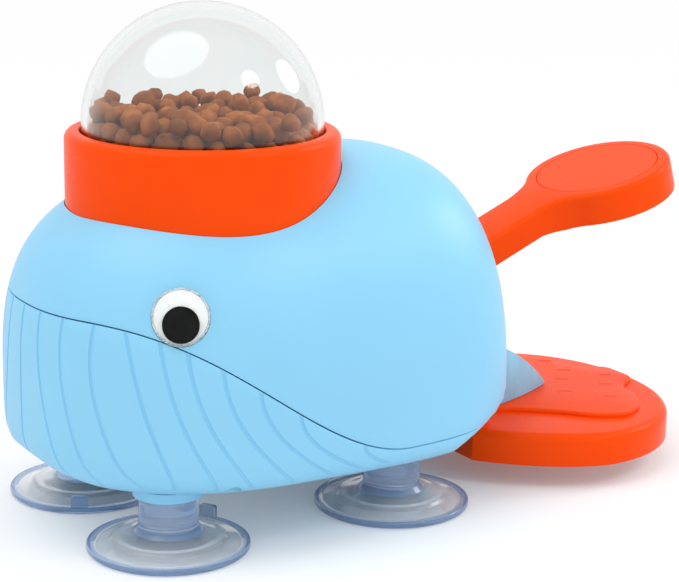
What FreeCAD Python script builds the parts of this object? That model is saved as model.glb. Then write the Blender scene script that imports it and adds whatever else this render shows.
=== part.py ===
import FreeCAD, Part
import math
import os

from FreeCAD import Vector

os.makedirs("parts", exist_ok=True)

# The feeder stands on four suction cups, head towards -X, food tray towards +X.
# Sizes are in millimetres and angles in degrees.

# Whole feeder
overall_length = 293.6
wall = 2.4
fit_gap = 0.3
shaft_gap = 0.05

# Body form, measured back from the nose and up from the floor
body_length = 191.2
body_width = 144.0
crown_height = 136.3
belly_height = 22.0
widest_from_nose = 84.4
crown_from_nose = 129.2
lowest_from_nose = 122.4
nose_mid_height = 55.7
tail_mid_rise = 3.4
plan_nose_power = 2.3
plan_tail_power = 3.33
crown_nose_power = 3.2
crown_tail_power = 2.89
belly_nose_power = 5.86
belly_tail_power = 1.3
upper_section_power = 2.48
lower_section_power = 4.39
skin_columns = 40
skin_stations = 20
lining_columns = 24
lining_stations = 10

# Mouth line, where the two shells meet
mouth_front_height = 88.5
mouth_rear_height = 34.8
mouth_turn_from_nose = 8.5
mouth_turn_length = 116.0
mouth_gap = 0.4
mouth_steps = 14

# Hopper collar and the pocket it stands in
hopper_from_nose = 74.5
collar_outer_radius = 51.3
collar_bore_radius = 42.0
collar_top_height = 146.6
collar_seat_height = 113.0
collar_ledge_height = 139.5
collar_skin = 2.4
collar_rim_slope = 2.0
collar_deck = 3.5
collar_screw_circle = 47.4
screws_in_collar = 4
collar_boss_radius = 3.2

# Clear dome lid
dome_outer_radius = 45.0
dome_wall = 2.2
dome_centre_height = 148.7
dome_side_gap = 0.6
dome_steps = 7

# Lever: paddle, arm, hub and gate
paddle_radius = 30.7
paddle_tilt = 16.0
paddle_top_height = 116.0
paddle_thickness = 13.5
paddle_edge = 2.2
paddle_skin = 2.6
arm_half_width = 12.0
arm_depth = 15.0
arm_blend_radius = 24.0
blend_steps = 3
paddle_steps = 11
pivot_from_hopper = 88.0
pivot_height = 72.0
pin_radius = 2.5
hub_radius = 7.5
press_angle = 13.0
arm_slot_gap = 0.8
gate_radius = 58.4
gate_thickness = 2.0
gate_half_width = 17.4
gate_overlap = 1.8
gate_running_gap = 0.4
beam_half_width = 5.0
beam_half_depth = 5.0

# Hopper funnel and its window
funnel_wall = 2.2
funnel_flange_radius = 50.7
window_sill_height = 68.0
window_head_height = 81.5
window_half_width = 15.5
throat_front_from_hopper = 4.0
throat_rear_from_hopper = 34.0
throat_half_width = 17.5
sill_drop = 2.0
bay_slope = 0.84
funnel_columns = 24
funnel_stations = 3

# Discharge chute and its pouring lip
chute_half_width = 18.0
chute_wall = 2.0
chute_side = 14.0
chute_head_gap = 0.4
chute_head_lap = 3.0
lip_root_from_nose = 184.0
lip_tip_from_nose = 237.5
lip_top_height = 51.5
lip_tip_round = 3.0
lip_floor = 1.8

# Lever cradle over the chute
cradle_deck_thickness = 2.5
cradle_deck_gap = 0.5
ear_thickness = 3.0
ear_gap = 0.4
cradle_front = 10.0
cradle_rear = 20.0
rear_leg_setback = 9.0
leg_radius = 3.6
leg_offset = 24.5
leg_foot_height = 30.5
bush_wall = 1.4
bush_flange = 0.8

# Return spring under the arm
spring_radius = 4.6
spring_bore_radius = 3.4
spring_from_pivot = 15.0

# Food tray
tray_front_from_nose = 178.0
tray_widest_from_nose = 222.5
tray_rear_from_nose = 281.0
tray_front_bow = 50.0
tray_half_width = 62.0
tray_plan_power = 2.2
tray_steps = 9
tray_top_height = 24.2
tray_depth = 14.8
tray_skin = 2.6
tray_edge = 2.8
pan_depth = 1.8
pan_rim = 13.0
pan_notch_reach = 4.0
pan_notch_half_width = 6.0

# Suction cups
cup_radius = 30.0
cup_pitch_x = 96.4
cup_pitch_y = 71.4
front_cups_from_nose = 41.3
cup_stem_radius = 11.0
cup_neck_radius = 4.6
cup_knob_radius = 7.2
cup_knob_height = 5.0
cup_land = 3.7
cup_seat_radius = 13.0
cup_seat_stand = 1.0
cup_seat_floor = 3.6

# Googly eyes
eye_radius = 10.2
eye_from_nose = 36.4
eye_height = 92.0
eye_sink = 1.2
eye_backing_thickness = 1.5
eye_cover_height = 4.2
eye_cover_wall = 0.7
pupil_radius = 6.5
pupil_thickness = 1.2
pupil_play = 0.3

# How many flat sides make a round form: enough to look round, few enough to stay light
small_sides = 12
middle_sides = 28
large_sides = 36
small_round = 9.0
middle_round = 35.0

# Self tapping screws and their bosses
screw_radius = 1.5
screw_head_radius = 2.8
screw_head_height = 2.0
boss_radius = 4.5
shell_screw_length = 12.0
collar_screw_length = 12.0
cradle_screw_length = 12.0
tray_screw_length = 16.0

# Places that follow from the sizes above
nose_x = -overall_length / 2
tail_x = nose_x + body_length
hopper_x = nose_x + hopper_from_nose
pivot_x = hopper_x + pivot_from_hopper
pocket_radius = collar_outer_radius + fit_gap
flange_top = collar_seat_height - wall
flange_bottom = flange_top - funnel_wall
bay_radius = gate_radius + gate_thickness / 2 + gate_running_gap
cup_seat_height = belly_height - cup_seat_stand
funnel_floor = window_sill_height - sill_drop
screw_hole = screw_radius + shaft_gap
up = Vector(0, 0, 1)
across = Vector(0, 1, 0)


# Shared forms

def sides_for(radius):
    if radius < small_round:
        return small_sides
    return middle_sides if radius < middle_round else large_sides


def round_points(radius, count):
    turns = [2 * math.pi * k / count for k in range(count)]
    return [(radius * math.cos(t), radius * math.sin(t)) for t in turns]


def filled(corners):
    return Part.Face(Part.makePolygon(corners + corners[:1]))


def post(radius, x, y, low, high):
    # Upright round bar
    points = round_points(radius, sides_for(radius))
    return filled([Vector(x + a, y + b, low) for a, b in points]).extrude(up * (high - low))


def cross_bar(radius, x, z, start, end):
    # Round bar lying across the width
    points = round_points(radius, sides_for(radius))
    return filled([Vector(x + a, start, z + b) for a, b in points]).extrude(across * (end - start))


def cross_bore(radius, x, z):
    # True round hole or shaft across the width, for what turns in it
    reach = body_width
    return Part.makeCylinder(radius, 2 * reach, Vector(x, -reach, z), across)


def block(x_low, x_high, y_low, y_high, z_low, z_high):
    size = Vector(x_high - x_low, y_high - y_low, z_high - z_low)
    return Part.makeBox(size.x, size.y, size.z, Vector(x_low, y_low, z_low))


def side_prism(outline, half):
    # An outline drawn in side view, as (x, z), carried across the width
    corners = [Vector(x, -half, z) for x, z in outline]
    return filled(corners).extrude(across * (2 * half))


def turned(profile, x, y):
    # A closed profile of (radius, height) spun about a vertical axis
    count = sides_for(max(r for r, z in profile))
    unit = round_points(1.0, count)
    faces = []
    for (r1, z1), (r2, z2) in zip(profile, profile[1:] + profile[:1]):
        for (a1, b1), (a2, b2) in zip(unit, unit[1:] + unit[:1]):
            corners = []
            if r1 > 0:
                corners += [Vector(x + r1 * a1, y + r1 * b1, z1), Vector(x + r1 * a2, y + r1 * b2, z1)]
            else:
                corners.append(Vector(x, y, z1))
            if r2 > 0:
                corners += [Vector(x + r2 * a2, y + r2 * b2, z2), Vector(x + r2 * a1, y + r2 * b1, z2)]
            else:
                corners.append(Vector(x, y, z2))
            if len(corners) > 2:
                faces.append(filled(corners))
    return solid_of(faces)


def solid_of(faces):
    solid = Part.Solid(Part.Shell(faces))
    if solid.Volume < 0:
        solid.reverse()
    return solid


def mirrored(shape):
    return shape.mirror(Vector(0, 0, 0), across)


def joined(shapes):
    whole = shapes[0]
    for shape in shapes[1:]:
        whole = whole.fuse(shape)
    return whole.removeSplitter()


def netted(rings, first, last):
    # A closed form of flat facets over matching rings of points, which is lighter
    # than one curved skin. Each end comes to a point, or is flat where none is given.
    count = len(rings[0])
    faces = []
    for near, far in zip(rings, rings[1:]):
        for k in range(count):
            j = (k + 1) % count
            faces.append([near[k], far[k], far[j]])
            faces.append([near[k], far[j], near[j]])
    for ring, point in ((rings[0], first), (rings[-1], last)):
        if point is None:
            faces.append(ring)
        else:
            faces += [[point, ring[k], ring[(k + 1) % count]] for k in range(count)]
    return solid_of([filled(corners) for corners in faces])


# Body form

def falloff(share, power):
    # What is left of a full size at this share of the way to where it ends
    return max(0.0, 1.0 - min(1.0, abs(share)) ** power) ** (1.0 / power)


def swell(x, peak, inset, nose_power, tail_power):
    # A size that is full at the peak and runs out at the nose and at the tail
    if x < peak:
        return falloff((peak - x) / (peak - nose_x - inset), nose_power)
    return falloff((x - peak) / (tail_x - inset - peak), tail_power)


def body_station(x, inset):
    # Half width, middle height, height above it and depth below it
    along = (x - nose_x - inset) / (body_length - 2 * inset)
    tail_mid = belly_height + tail_mid_rise + inset
    middle = nose_mid_height + (tail_mid - nose_mid_height) * along
    plan = swell(x, nose_x + widest_from_nose, inset, plan_nose_power, plan_tail_power)
    above = swell(x, nose_x + crown_from_nose, inset, crown_nose_power, crown_tail_power)
    below = swell(x, nose_x + lowest_from_nose, inset, belly_nose_power, belly_tail_power)
    half = (body_width / 2 - inset) * plan
    rise = (crown_height - inset - middle) * above
    depth = (middle - belly_height - inset) * below
    return half, middle, rise, depth


def section_reach(angle, half, tall, power):
    # Distance from the section's middle to its outline
    wide = abs(math.cos(angle) / half) ** power
    high = abs(math.sin(angle) / tall) ** power
    return (wide + high) ** (-1.0 / power)


def body_ring(x, inset, columns):
    half, middle, rise, depth = body_station(x, inset)
    ring = []
    for k in range(columns):
        angle = 2 * math.pi * k / columns
        if math.sin(angle) >= 0:
            reach = section_reach(angle, half, rise, upper_section_power)
        else:
            reach = section_reach(angle, half, depth, lower_section_power)
        ring.append(Vector(x, reach * math.cos(angle), middle + reach * math.sin(angle)))
    return ring


def body_form(inset, columns, stations):
    start = nose_x + inset
    length = body_length - 2 * inset
    turns = [math.pi * k / stations for k in range(1, stations)]
    rings = [body_ring(start + length * (1 - math.cos(t)) / 2, inset, columns) for t in turns]
    nose = Vector(start, 0, body_station(start, inset)[1])
    tail = Vector(start + length, 0, body_station(start + length, inset)[1])
    return netted(rings, nose, tail)


def body_level(x, y, z):
    # Below 1 inside the body and above 1 outside it
    half, middle, rise, depth = body_station(x, 0)
    if z >= middle:
        tall, power = rise, upper_section_power
    else:
        tall, power = depth, lower_section_power
    return abs(y / half) ** power + abs((z - middle) / tall) ** power


def body_side(x, z):
    # Half width of the body at a station and height
    half, middle, rise, depth = body_station(x, 0)
    tall, power = (rise, upper_section_power) if z >= middle else (depth, lower_section_power)
    return half * falloff((z - middle) / tall, power)


def mouth_height(x):
    share = (x - nose_x - mouth_turn_from_nose) / mouth_turn_length
    share = min(1.0, max(0.0, share))
    ease = share * share * (3 - 2 * share)
    return mouth_front_height - (mouth_front_height - mouth_rear_height) * ease


def mouth_side(lift, limit):
    # Everything between the mouth line, raised by lift, and a limit height
    turn = nose_x + mouth_turn_from_nose
    places = [turn + mouth_turn_length * k / mouth_steps for k in range(mouth_steps + 1)]
    places = [nose_x - body_width] + places + [tail_x + body_width]
    line = [(x, mouth_height(x) + lift) for x in places]
    return side_prism(line + [(places[-1], limit), (places[0], limit)], body_width)


# Places of the screws, as (x, y, height of the head's seat)

def shell_screw_places():
    # Two near the jaw and two near the tail, close to the side walls
    places = []
    for from_nose in (54.0, 158.0):
        x = nose_x + from_nose
        seam = mouth_height(x)
        y = body_side(x, seam) - wall - boss_radius + 0.6
        places += [(x, y, seam - 5.0), (x, -y, seam - 5.0)]
    return places


def collar_screw_places():
    places = []
    for k in range(screws_in_collar):
        angle = math.pi * (2 * k + 1) / screws_in_collar
        x = hopper_x + collar_screw_circle * math.cos(angle)
        places.append((x, collar_screw_circle * math.sin(angle), flange_bottom))
    return places


def cradle_leg_places():
    xs = (pivot_x - cradle_front + leg_radius, pivot_x + cradle_rear - rear_leg_setback)
    return [(x, y) for x in xs for y in (-leg_offset, leg_offset)]


def tray_screw_places():
    x = nose_x + tray_front_from_nose + 7.0
    y = chute_half_width + chute_wall + boss_radius + 1.5
    return [(x, y), (x, -y)]


def cup_places():
    front = nose_x + front_cups_from_nose
    side = cup_pitch_y / 2
    rear = front + cup_pitch_x
    return {
        "front_left": (front, -side),
        "front_right": (front, side),
        "rear_left": (rear, -side),
        "rear_right": (rear, side),
    }


def screw(x, y, seat, length):
    head = -screw_head_height
    tip = length - screw_radius
    profile = [
        (0, head),
        (screw_head_radius, head),
        (screw_head_radius, 0),
        (screw_radius, 0),
        (screw_radius, tip),
        (0, length),
    ]
    return turned([(r, seat + z) for r, z in profile], x, y)


# Openings that the shells share

def arm_lean():
    # Slope of the arm at rest, from the hub up to the paddle's near edge
    hub_u, hub_w = pivot_in_paddle()
    return math.radians(paddle_tilt) + math.atan2(-hub_w - arm_depth / 2, -paddle_radius - hub_u)


def arm_height(reach, side, lean):
    # Top (side 1) or underside (side -1) of the arm at a reach behind the pivot
    return pivot_height + reach * math.tan(lean) + side * arm_depth / 2 / math.cos(lean)


def arm_slot():
    # The arm passes through the tail wall and swings down in this slot
    reach = tail_x - pivot_x
    top = arm_height(reach, 1, arm_lean()) + arm_slot_gap
    bottom = arm_height(reach - 6, -1, arm_lean() - math.radians(press_angle)) - arm_slot_gap
    half = arm_half_width + arm_slot_gap
    return block(pivot_x + 8, tail_x + 10, -half, half, bottom, top)


def lip_plan(grow, low, high):
    # A pointed arch in plan: straight throat, then two long curves to the tip
    root = nose_x + lip_root_from_nose
    tip = nose_x + lip_tip_from_nose + grow
    half = chute_half_width + chute_wall + grow
    middle = Vector((root + tip) / 2, half * 0.64, low)
    start = Vector(root, half, low)
    end = Vector(tip, 0, low)
    back = Vector(root - 18.0, half, low)
    mirror = Vector(1, -1, 1)
    flip = [Vector(p.x, p.y * mirror.y, p.z) for p in (back, start, middle, end)]
    edges = [
        Part.makeLine(back, start),
        Part.Arc(start, middle, end).toShape(),
        Part.Arc(end, flip[2], flip[1]).toShape(),
        Part.makeLine(flip[1], flip[0]),
        Part.makeLine(flip[0], back),
    ]
    return Part.Face(Part.Wire(edges)).extrude(up * (high - low))


def lip_opening():
    return lip_plan(fit_gap, belly_height - 4, lip_top_height + fit_gap)


# Shells

def collar_well():
    # Ring and floor that carry the hopper collar inside the upper shell
    outer = pocket_radius + wall
    return post(outer, hopper_x, 0, collar_seat_height - wall, crown_height + 20)


def upper_shell():
    cavity = body_form(wall, lining_columns, lining_stations)
    cavity = cavity.cut(collar_well())
    for x, y, seat in shell_screw_places():
        cavity = cavity.cut(post(boss_radius, x, y, seat, seat + 24))
    shell = body_form(0, skin_columns, skin_stations).cut(cavity)
    shell = shell.common(mouth_side(mouth_gap / 2, crown_height + 40))
    shell = shell.cut(post(pocket_radius, hopper_x, 0, collar_seat_height, crown_height + 20))
    shell = shell.cut(post(collar_bore_radius, hopper_x, 0, flange_top - 1, crown_height))
    shell = shell.cut(arm_slot())
    shell = shell.cut(lip_opening())
    for x, y, seat in collar_screw_places():
        shell = shell.cut(post(screw_hole, x, y, seat, seat + 10))
    for x, y, seat in shell_screw_places():
        shell = shell.cut(post(screw_hole, x, y, seat - 1, seat + shell_screw_length + 1))
    for side in (-1, 1):
        shell = shell.cut(eye_recess(side))
    return shell


def belly_shell():
    cavity = body_form(wall, lining_columns, lining_stations)
    for x, y, seat in shell_screw_places():
        cavity = cavity.cut(post(boss_radius, x, y, belly_height, seat + 20))
    for x, y in cradle_leg_places():
        cavity = cavity.cut(post(boss_radius, x, y, belly_height, leg_foot_height))
    for x, y in tray_screw_places():
        cavity = cavity.cut(post(boss_radius, x, y, belly_height, mouth_rear_height))
    shell = body_form(0, skin_columns, skin_stations).cut(cavity)
    shell = shell.common(mouth_side(-mouth_gap / 2, belly_height - 20))
    for x, y in cup_places().values():
        top = cup_seat_height + cup_seat_floor
        shell = shell.fuse(post(cup_seat_radius, x, y, cup_seat_height, top))
        shell = shell.cut(post(cup_seat_radius, x, y, top, top + 6).common(cavity))
        shell = shell.cut(post(cup_neck_radius + fit_gap, x, y, cup_seat_height - 1, top + 8))
        shell = shell.cut(post(cup_knob_radius + fit_gap, x, y, top, top + 8))
    shell = shell.cut(lip_opening())
    for x, y, seat in shell_screw_places():
        shell = shell.cut(post(screw_head_radius + fit_gap, x, y, belly_height - 5, seat))
        shell = shell.cut(post(screw_hole, x, y, seat - 1, seat + 20))
    for x, y in cradle_leg_places():
        seat = leg_foot_height - 3.0
        shell = shell.cut(post(screw_head_radius + fit_gap, x, y, belly_height - 5, seat))
        shell = shell.cut(post(screw_hole, x, y, seat - 1, seat + 10))
    for x, y in tray_screw_places():
        top = tray_screw_seat() + tray_screw_length + 0.5
        shell = shell.cut(post(screw_hole, x, y, belly_height - 5, top))
    return shell


# Hopper

def hopper_collar():
    # Upside down channel: outer skirt, inner wall, and a solid rim with the dome's ledge
    outer = collar_outer_radius
    top = collar_top_height
    seat = collar_seat_height
    slope = collar_rim_slope
    dome_bore = dome_outer_radius + dome_side_gap
    deck = collar_ledge_height - collar_deck
    inner_wall = collar_bore_radius + collar_skin
    ring = turned([
        (outer, seat),
        (outer, top - slope),
        (outer - slope * 0.3, top - slope * 0.3),
        (outer - slope, top),
        (dome_bore + 1, top),
        (dome_bore, top - 1),
        (dome_bore, collar_ledge_height),
        (collar_bore_radius, collar_ledge_height),
        (collar_bore_radius, seat),
        (inner_wall, seat),
        (inner_wall, deck),
        (outer - collar_skin, deck),
        (outer - collar_skin, seat),
    ], hopper_x, 0)
    bosses = [post(collar_boss_radius, x, y, seat, deck + 0.5) for x, y, z in collar_screw_places()]
    ring = joined([ring] + bosses)
    for x, y, low in collar_screw_places():
        ring = ring.cut(post(screw_hole, x, y, seat - 1, low + collar_screw_length + 1))
    return ring


def dome_outline(radius):
    # Foot, then the round of the dome up to its crown
    foot = collar_ledge_height + fit_gap
    line = [(radius, foot)]
    for k in range(dome_steps + 1):
        angle = math.pi / 2 * k / dome_steps
        r = radius * math.cos(angle)
        line.append((max(0.0, r) if k < dome_steps else 0.0, dome_centre_height + radius * math.sin(angle)))
    return line


def dome_lid():
    outside = dome_outline(dome_outer_radius)
    inside = dome_outline(dome_outer_radius - dome_wall)
    return turned(outside + inside[::-1], hopper_x, 0)


def funnel_ring(height, inset):
    # Round under the collar and squarer towards the throat
    drop = (flange_bottom - height) / (flange_bottom - funnel_floor)
    drop = min(1.0, max(0.0, drop))
    top = collar_bore_radius + funnel_wall - inset
    middle = (throat_front_from_hopper + throat_rear_from_hopper) / 2 * drop
    throat = (throat_rear_from_hopper - throat_front_from_hopper) / 2
    along = top + (throat + funnel_wall - inset - top) * drop
    half = top + (throat_half_width + funnel_wall - inset - top) * drop
    power = 2.0 + 4.0 * drop
    ring = []
    for k in range(funnel_columns):
        angle = 2 * math.pi * k / funnel_columns
        wide = abs(math.cos(angle) / along) ** power
        high = abs(math.sin(angle) / half) ** power
        reach = (wide + high) ** (-1.0 / power)
        x = hopper_x + middle + reach * math.cos(angle)
        ring.append(Vector(x, reach * math.sin(angle), height))
    return ring


def funnel_form(inset, bottom, top):
    heights = [top]
    for k in range(funnel_stations + 1):
        heights.append(flange_bottom + (funnel_floor - flange_bottom) * k / funnel_stations)
    if bottom < funnel_floor:
        heights.append(bottom)
    return netted([funnel_ring(z, inset) for z in heights], None, None)


def gate_bay(radius, lift):
    # Space behind the funnel that the gate swings in, under a sloping roof
    drum = Part.makeCylinder(radius, 2 * body_width, Vector(pivot_x, -body_width, pivot_height), across)
    swing = math.radians(press_angle) + math.asin(
        (window_head_height + gate_overlap - pivot_height) / gate_radius
    )
    gate_top = pivot_height + (gate_radius + gate_thickness) * math.sin(swing)
    gate_front = pivot_x - gate_radius * math.cos(swing)
    roof = gate_top + 1.2 + lift
    front = pivot_x - radius - 5
    rear = pivot_x + radius + 5
    outline = [
        (front, pivot_height - radius - 5),
        (front, roof + (front - gate_front) * bay_slope),
        (rear, roof + (rear - gate_front) * bay_slope),
        (rear, pivot_height - radius - 5),
    ]
    return drum.common(side_prism(outline, body_width))


def hopper_funnel():
    roof_lift = funnel_wall * math.sqrt(1 + bay_slope ** 2)
    outside = funnel_form(0, funnel_floor - funnel_wall, flange_bottom + 0.5)
    outside = outside.cut(gate_bay(bay_radius, 0))
    hollow = funnel_form(funnel_wall, funnel_floor, flange_top + 1)
    hollow = hollow.cut(gate_bay(bay_radius + funnel_wall, roof_lift))
    flange = post(funnel_flange_radius, hopper_x, 0, flange_bottom, flange_top)
    funnel = outside.fuse(flange).cut(hollow)
    window = block(
        pivot_x - bay_radius - funnel_wall - 6, pivot_x - bay_radius + 6,
        -window_half_width, window_half_width,
        window_sill_height, window_head_height,
    )
    funnel = funnel.cut(window)
    for x, y, seat in collar_screw_places():
        funnel = funnel.cut(post(screw_hole, x, y, seat - 1, seat + 10))
    return funnel


# Lever

def paddle_x():
    # The lower edge of the tilted paddle is what reaches furthest back
    tilt = math.radians(paddle_tilt)
    reach = paddle_radius * math.cos(tilt) + paddle_thickness * math.sin(tilt)
    return overall_length / 2 - reach


def paddle_frame(shape):
    # From the paddle's own frame, origin at its top centre, to its place
    moved = shape.copy()
    place = Vector(paddle_x(), 0, paddle_top_height)
    moved.Placement = FreeCAD.Placement(place, FreeCAD.Rotation(across, -paddle_tilt))
    return moved


def pivot_in_paddle():
    # The pivot seen from the paddle's own frame
    tilt = math.radians(paddle_tilt)
    dx = pivot_x - paddle_x()
    dz = pivot_height - paddle_top_height
    return dx * math.cos(tilt) + dz * math.sin(tilt), dz * math.cos(tilt) - dx * math.sin(tilt)


def blend_centre():
    # Middle of the hollow curve that joins the arm to the round paddle
    side = arm_half_width + arm_blend_radius
    return -math.sqrt((paddle_radius + arm_blend_radius) ** 2 - side ** 2), side


def arm_half(u, inset):
    # Half width of the arm and of its blend, up to where the paddle's round begins
    centre, side = blend_centre()
    if u < centre:
        return arm_half_width - inset
    return side - math.sqrt((arm_blend_radius + inset) ** 2 - (u - centre) ** 2)


def arm_top(u):
    # The arm leaves the paddle a little steeper than the paddle itself lies
    hub_u, hub_w = pivot_in_paddle()
    share = (u + paddle_radius) / (hub_u + paddle_radius)
    return (hub_w + arm_depth / 2) * max(0.0, share)


def paddle_ring(inset, z):
    # Plan of the paddle and of the blend behind it, cut off straight at the knee
    knee = -paddle_radius
    centre, side = blend_centre()
    radius = paddle_radius - inset
    touch = math.atan2(side, centre)
    touch_u = radius * math.cos(touch)
    points = []
    for k in range(blend_steps):
        u = knee + (touch_u - knee) * k / blend_steps
        points.append(Vector(u, arm_half(u, inset), z))
    for k in range(paddle_steps):
        angle = touch * (1 - k / paddle_steps)
        points.append(Vector(radius * math.cos(angle), radius * math.sin(angle), z))
    other = [Vector(p.x, -p.y, p.z) for p in reversed(points)]
    return points + [Vector(radius, 0, z)] + other


def arm_section(u, inset, drop, depth):
    # Section of the arm: bevelled along the top unless it is the hollow under it
    half = arm_half(u, inset)
    top = arm_top(u) - drop
    bevel = 0.01 if inset else paddle_edge
    inner = arm_half(u, inset + bevel)
    corners = [(half, top - depth), (half, top - bevel), (inner, top)]
    corners += [(-v, w) for v, w in reversed(corners)]
    return [Vector(u, v, w) for v, w in corners]


def press_lever():
    hub_u, hub_w = pivot_in_paddle()
    knee = -paddle_radius
    waist = blend_centre()[0]
    edge = paddle_edge
    skin = paddle_skin
    levels = [(0, -paddle_thickness), (0, -edge), (edge * 0.3, -edge * 0.3), (edge, 0)]
    paddle = netted([paddle_ring(inset, z) for inset, z in levels], None, None)
    stations = [(knee, paddle_thickness), ((knee + waist) / 2, paddle_thickness + 1), (waist, arm_depth), (hub_u, arm_depth)]
    arm = netted([arm_section(u, 0, 0, depth) for u, depth in stations], None, None)
    dish = netted([paddle_ring(skin, -60), paddle_ring(skin, -skin)], None, None)
    stations = [knee + 0.5, (knee + waist) / 2, waist, hub_u + 3 * hub_radius]
    trough = netted([arm_section(u, skin, skin, 60) for u in stations], None, None)
    body = paddle_frame(joined([paddle, arm]).cut(dish).cut(trough))
    hub = cross_bar(hub_radius, pivot_x, pivot_height, -arm_half_width, arm_half_width)
    beam = block(
        pivot_x - gate_radius, pivot_x,
        -beam_half_width, beam_half_width,
        pivot_height - beam_half_depth, pivot_height + beam_half_depth,
    )
    beam = beam.common(gate_drum(gate_radius - gate_thickness / 2))
    whole = joined([body, hub, beam, gate_tenon(0)])
    return whole.cut(cross_bore(pin_radius + shaft_gap, pivot_x, pivot_height))


def gate_drum(radius):
    return cross_bore(radius, pivot_x, pivot_height)


def gate_tenon(grow):
    # Stub of the beam that the gate is fixed on
    half = beam_half_width - 1.5 + grow
    depth = beam_half_depth - 1.5 + grow
    tenon = block(
        pivot_x - gate_radius - 3, pivot_x - gate_radius + 4,
        -half, half, pivot_height - depth, pivot_height + depth,
    )
    return tenon.common(gate_drum(gate_radius + gate_thickness / 4))


def gate_plate():
    # Part of a drum about the pivot, so that it slides past the window
    outer = gate_drum(gate_radius + gate_thickness / 2)
    inner = gate_drum(gate_radius - gate_thickness / 2)
    window = block(
        pivot_x - gate_radius - 5, pivot_x - gate_radius / 2,
        -gate_half_width, gate_half_width,
        window_sill_height - gate_overlap, window_head_height + gate_overlap,
    )
    return outer.cut(inner).common(window).cut(gate_tenon(shaft_gap))


# Cradle, pin, bushes and spring

def deck_height():
    return lip_top_height + cradle_deck_gap


def ear_outline():
    top = pivot_height + hub_radius - 1
    low = deck_height() + cradle_deck_thickness - 0.5
    return [
        (pivot_x - cradle_front, low),
        (pivot_x - hub_radius + 1, pivot_height),
        (pivot_x - hub_radius / 2, top),
        (pivot_x + hub_radius / 2, top),
        (pivot_x + hub_radius - 1, pivot_height),
        (pivot_x + cradle_front, low),
    ]


def lever_cradle():
    deck = deck_height()
    top = deck + cradle_deck_thickness
    side = leg_offset + leg_radius
    pieces = [block(pivot_x - cradle_front, pivot_x + cradle_rear, -side, side, deck, top)]
    inner = arm_half_width + ear_gap
    ear = side_prism(ear_outline(), ear_thickness / 2)
    for sign in (-1, 1):
        placed = ear.copy()
        placed.translate(across * sign * (inner + ear_thickness / 2))
        pieces.append(placed)
    for x, y in cradle_leg_places():
        pieces.append(post(leg_radius, x, y, leg_foot_height, deck + 1))
    x = pivot_x + spring_from_pivot
    pieces.append(post(spring_bore_radius - 0.5, x, 0, deck, top + 4))
    whole = joined(pieces)
    sleeve = pin_radius + bush_wall
    whole = whole.cut(cross_bar(sleeve, pivot_x, pivot_height, -body_width, body_width))
    for x, y in cradle_leg_places():
        depth = leg_foot_height + cradle_screw_length - 2
        whole = whole.cut(post(screw_hole, x, y, leg_foot_height - 1, depth))
    return whole


def pivot_bushes():
    # Flanged bushes, pressed in from outside the ears
    inner = arm_half_width + ear_gap
    outer = inner + ear_thickness
    sleeve = pin_radius + bush_wall
    bore = cross_bore(pin_radius + shaft_gap, pivot_x, pivot_height)
    body = cross_bar(sleeve, pivot_x, pivot_height, inner, outer)
    flange = cross_bar(sleeve + 1.6, pivot_x, pivot_height, outer, outer + bush_flange)
    bush = body.fuse(flange).removeSplitter().cut(bore)
    return Part.makeCompound([bush, mirrored(bush)])


def pin_end():
    return arm_half_width + ear_gap + ear_thickness + bush_flange


def pivot_pin():
    end = pin_end() + 2.4
    head = pin_end() + 0.1
    start = Vector(pivot_x, -head, pivot_height)
    shaft = Part.makeCylinder(pin_radius, head + end, start, across)
    cap = cross_bar(pin_radius + 2, pivot_x, pivot_height, -head - 1.6, -head)
    return joined([shaft, cap]).cut(clip_ring(pin_radius - 0.5, pin_radius + 1, 0))


def clip_ring(inner, outer, slack):
    start = pin_end() + 0.1 + slack
    end = pin_end() + 1 - slack
    ring = cross_bar(outer, pivot_x, pivot_height, start, end)
    return ring.cut(cross_bar(inner, pivot_x, pivot_height, start, end))


def pin_clip():
    # Open spring clip in the pin's groove
    ring = clip_ring(pin_radius - 0.5 + shaft_gap, pin_radius + 2.2, 0.05)
    top = pivot_height + hub_radius
    return ring.cut(block(pivot_x - 1.8, pivot_x + 1.8, pin_end(), pin_end() + 3, pivot_height, top))


def return_spring():
    base = deck_height() + cradle_deck_thickness
    top = arm_height(spring_from_pivot - spring_radius, -1, arm_lean()) - fit_gap
    coil = post(spring_radius, pivot_x + spring_from_pivot, 0, base, top)
    return coil.cut(post(spring_bore_radius, pivot_x + spring_from_pivot, 0, base, top))


# Chute

def chute_floor(x):
    # Height of the sloping floor's top face
    head_x = pivot_x - bay_radius
    head_z = funnel_floor - funnel_wall - chute_head_gap
    x = max(x, head_x)
    foot_x = nose_x + lip_root_from_nose
    foot_z = tray_top_height + fit_gap + lip_floor + 0.6
    return head_z + (foot_z - head_z) * (x - head_x) / (foot_x - head_x)


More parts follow.
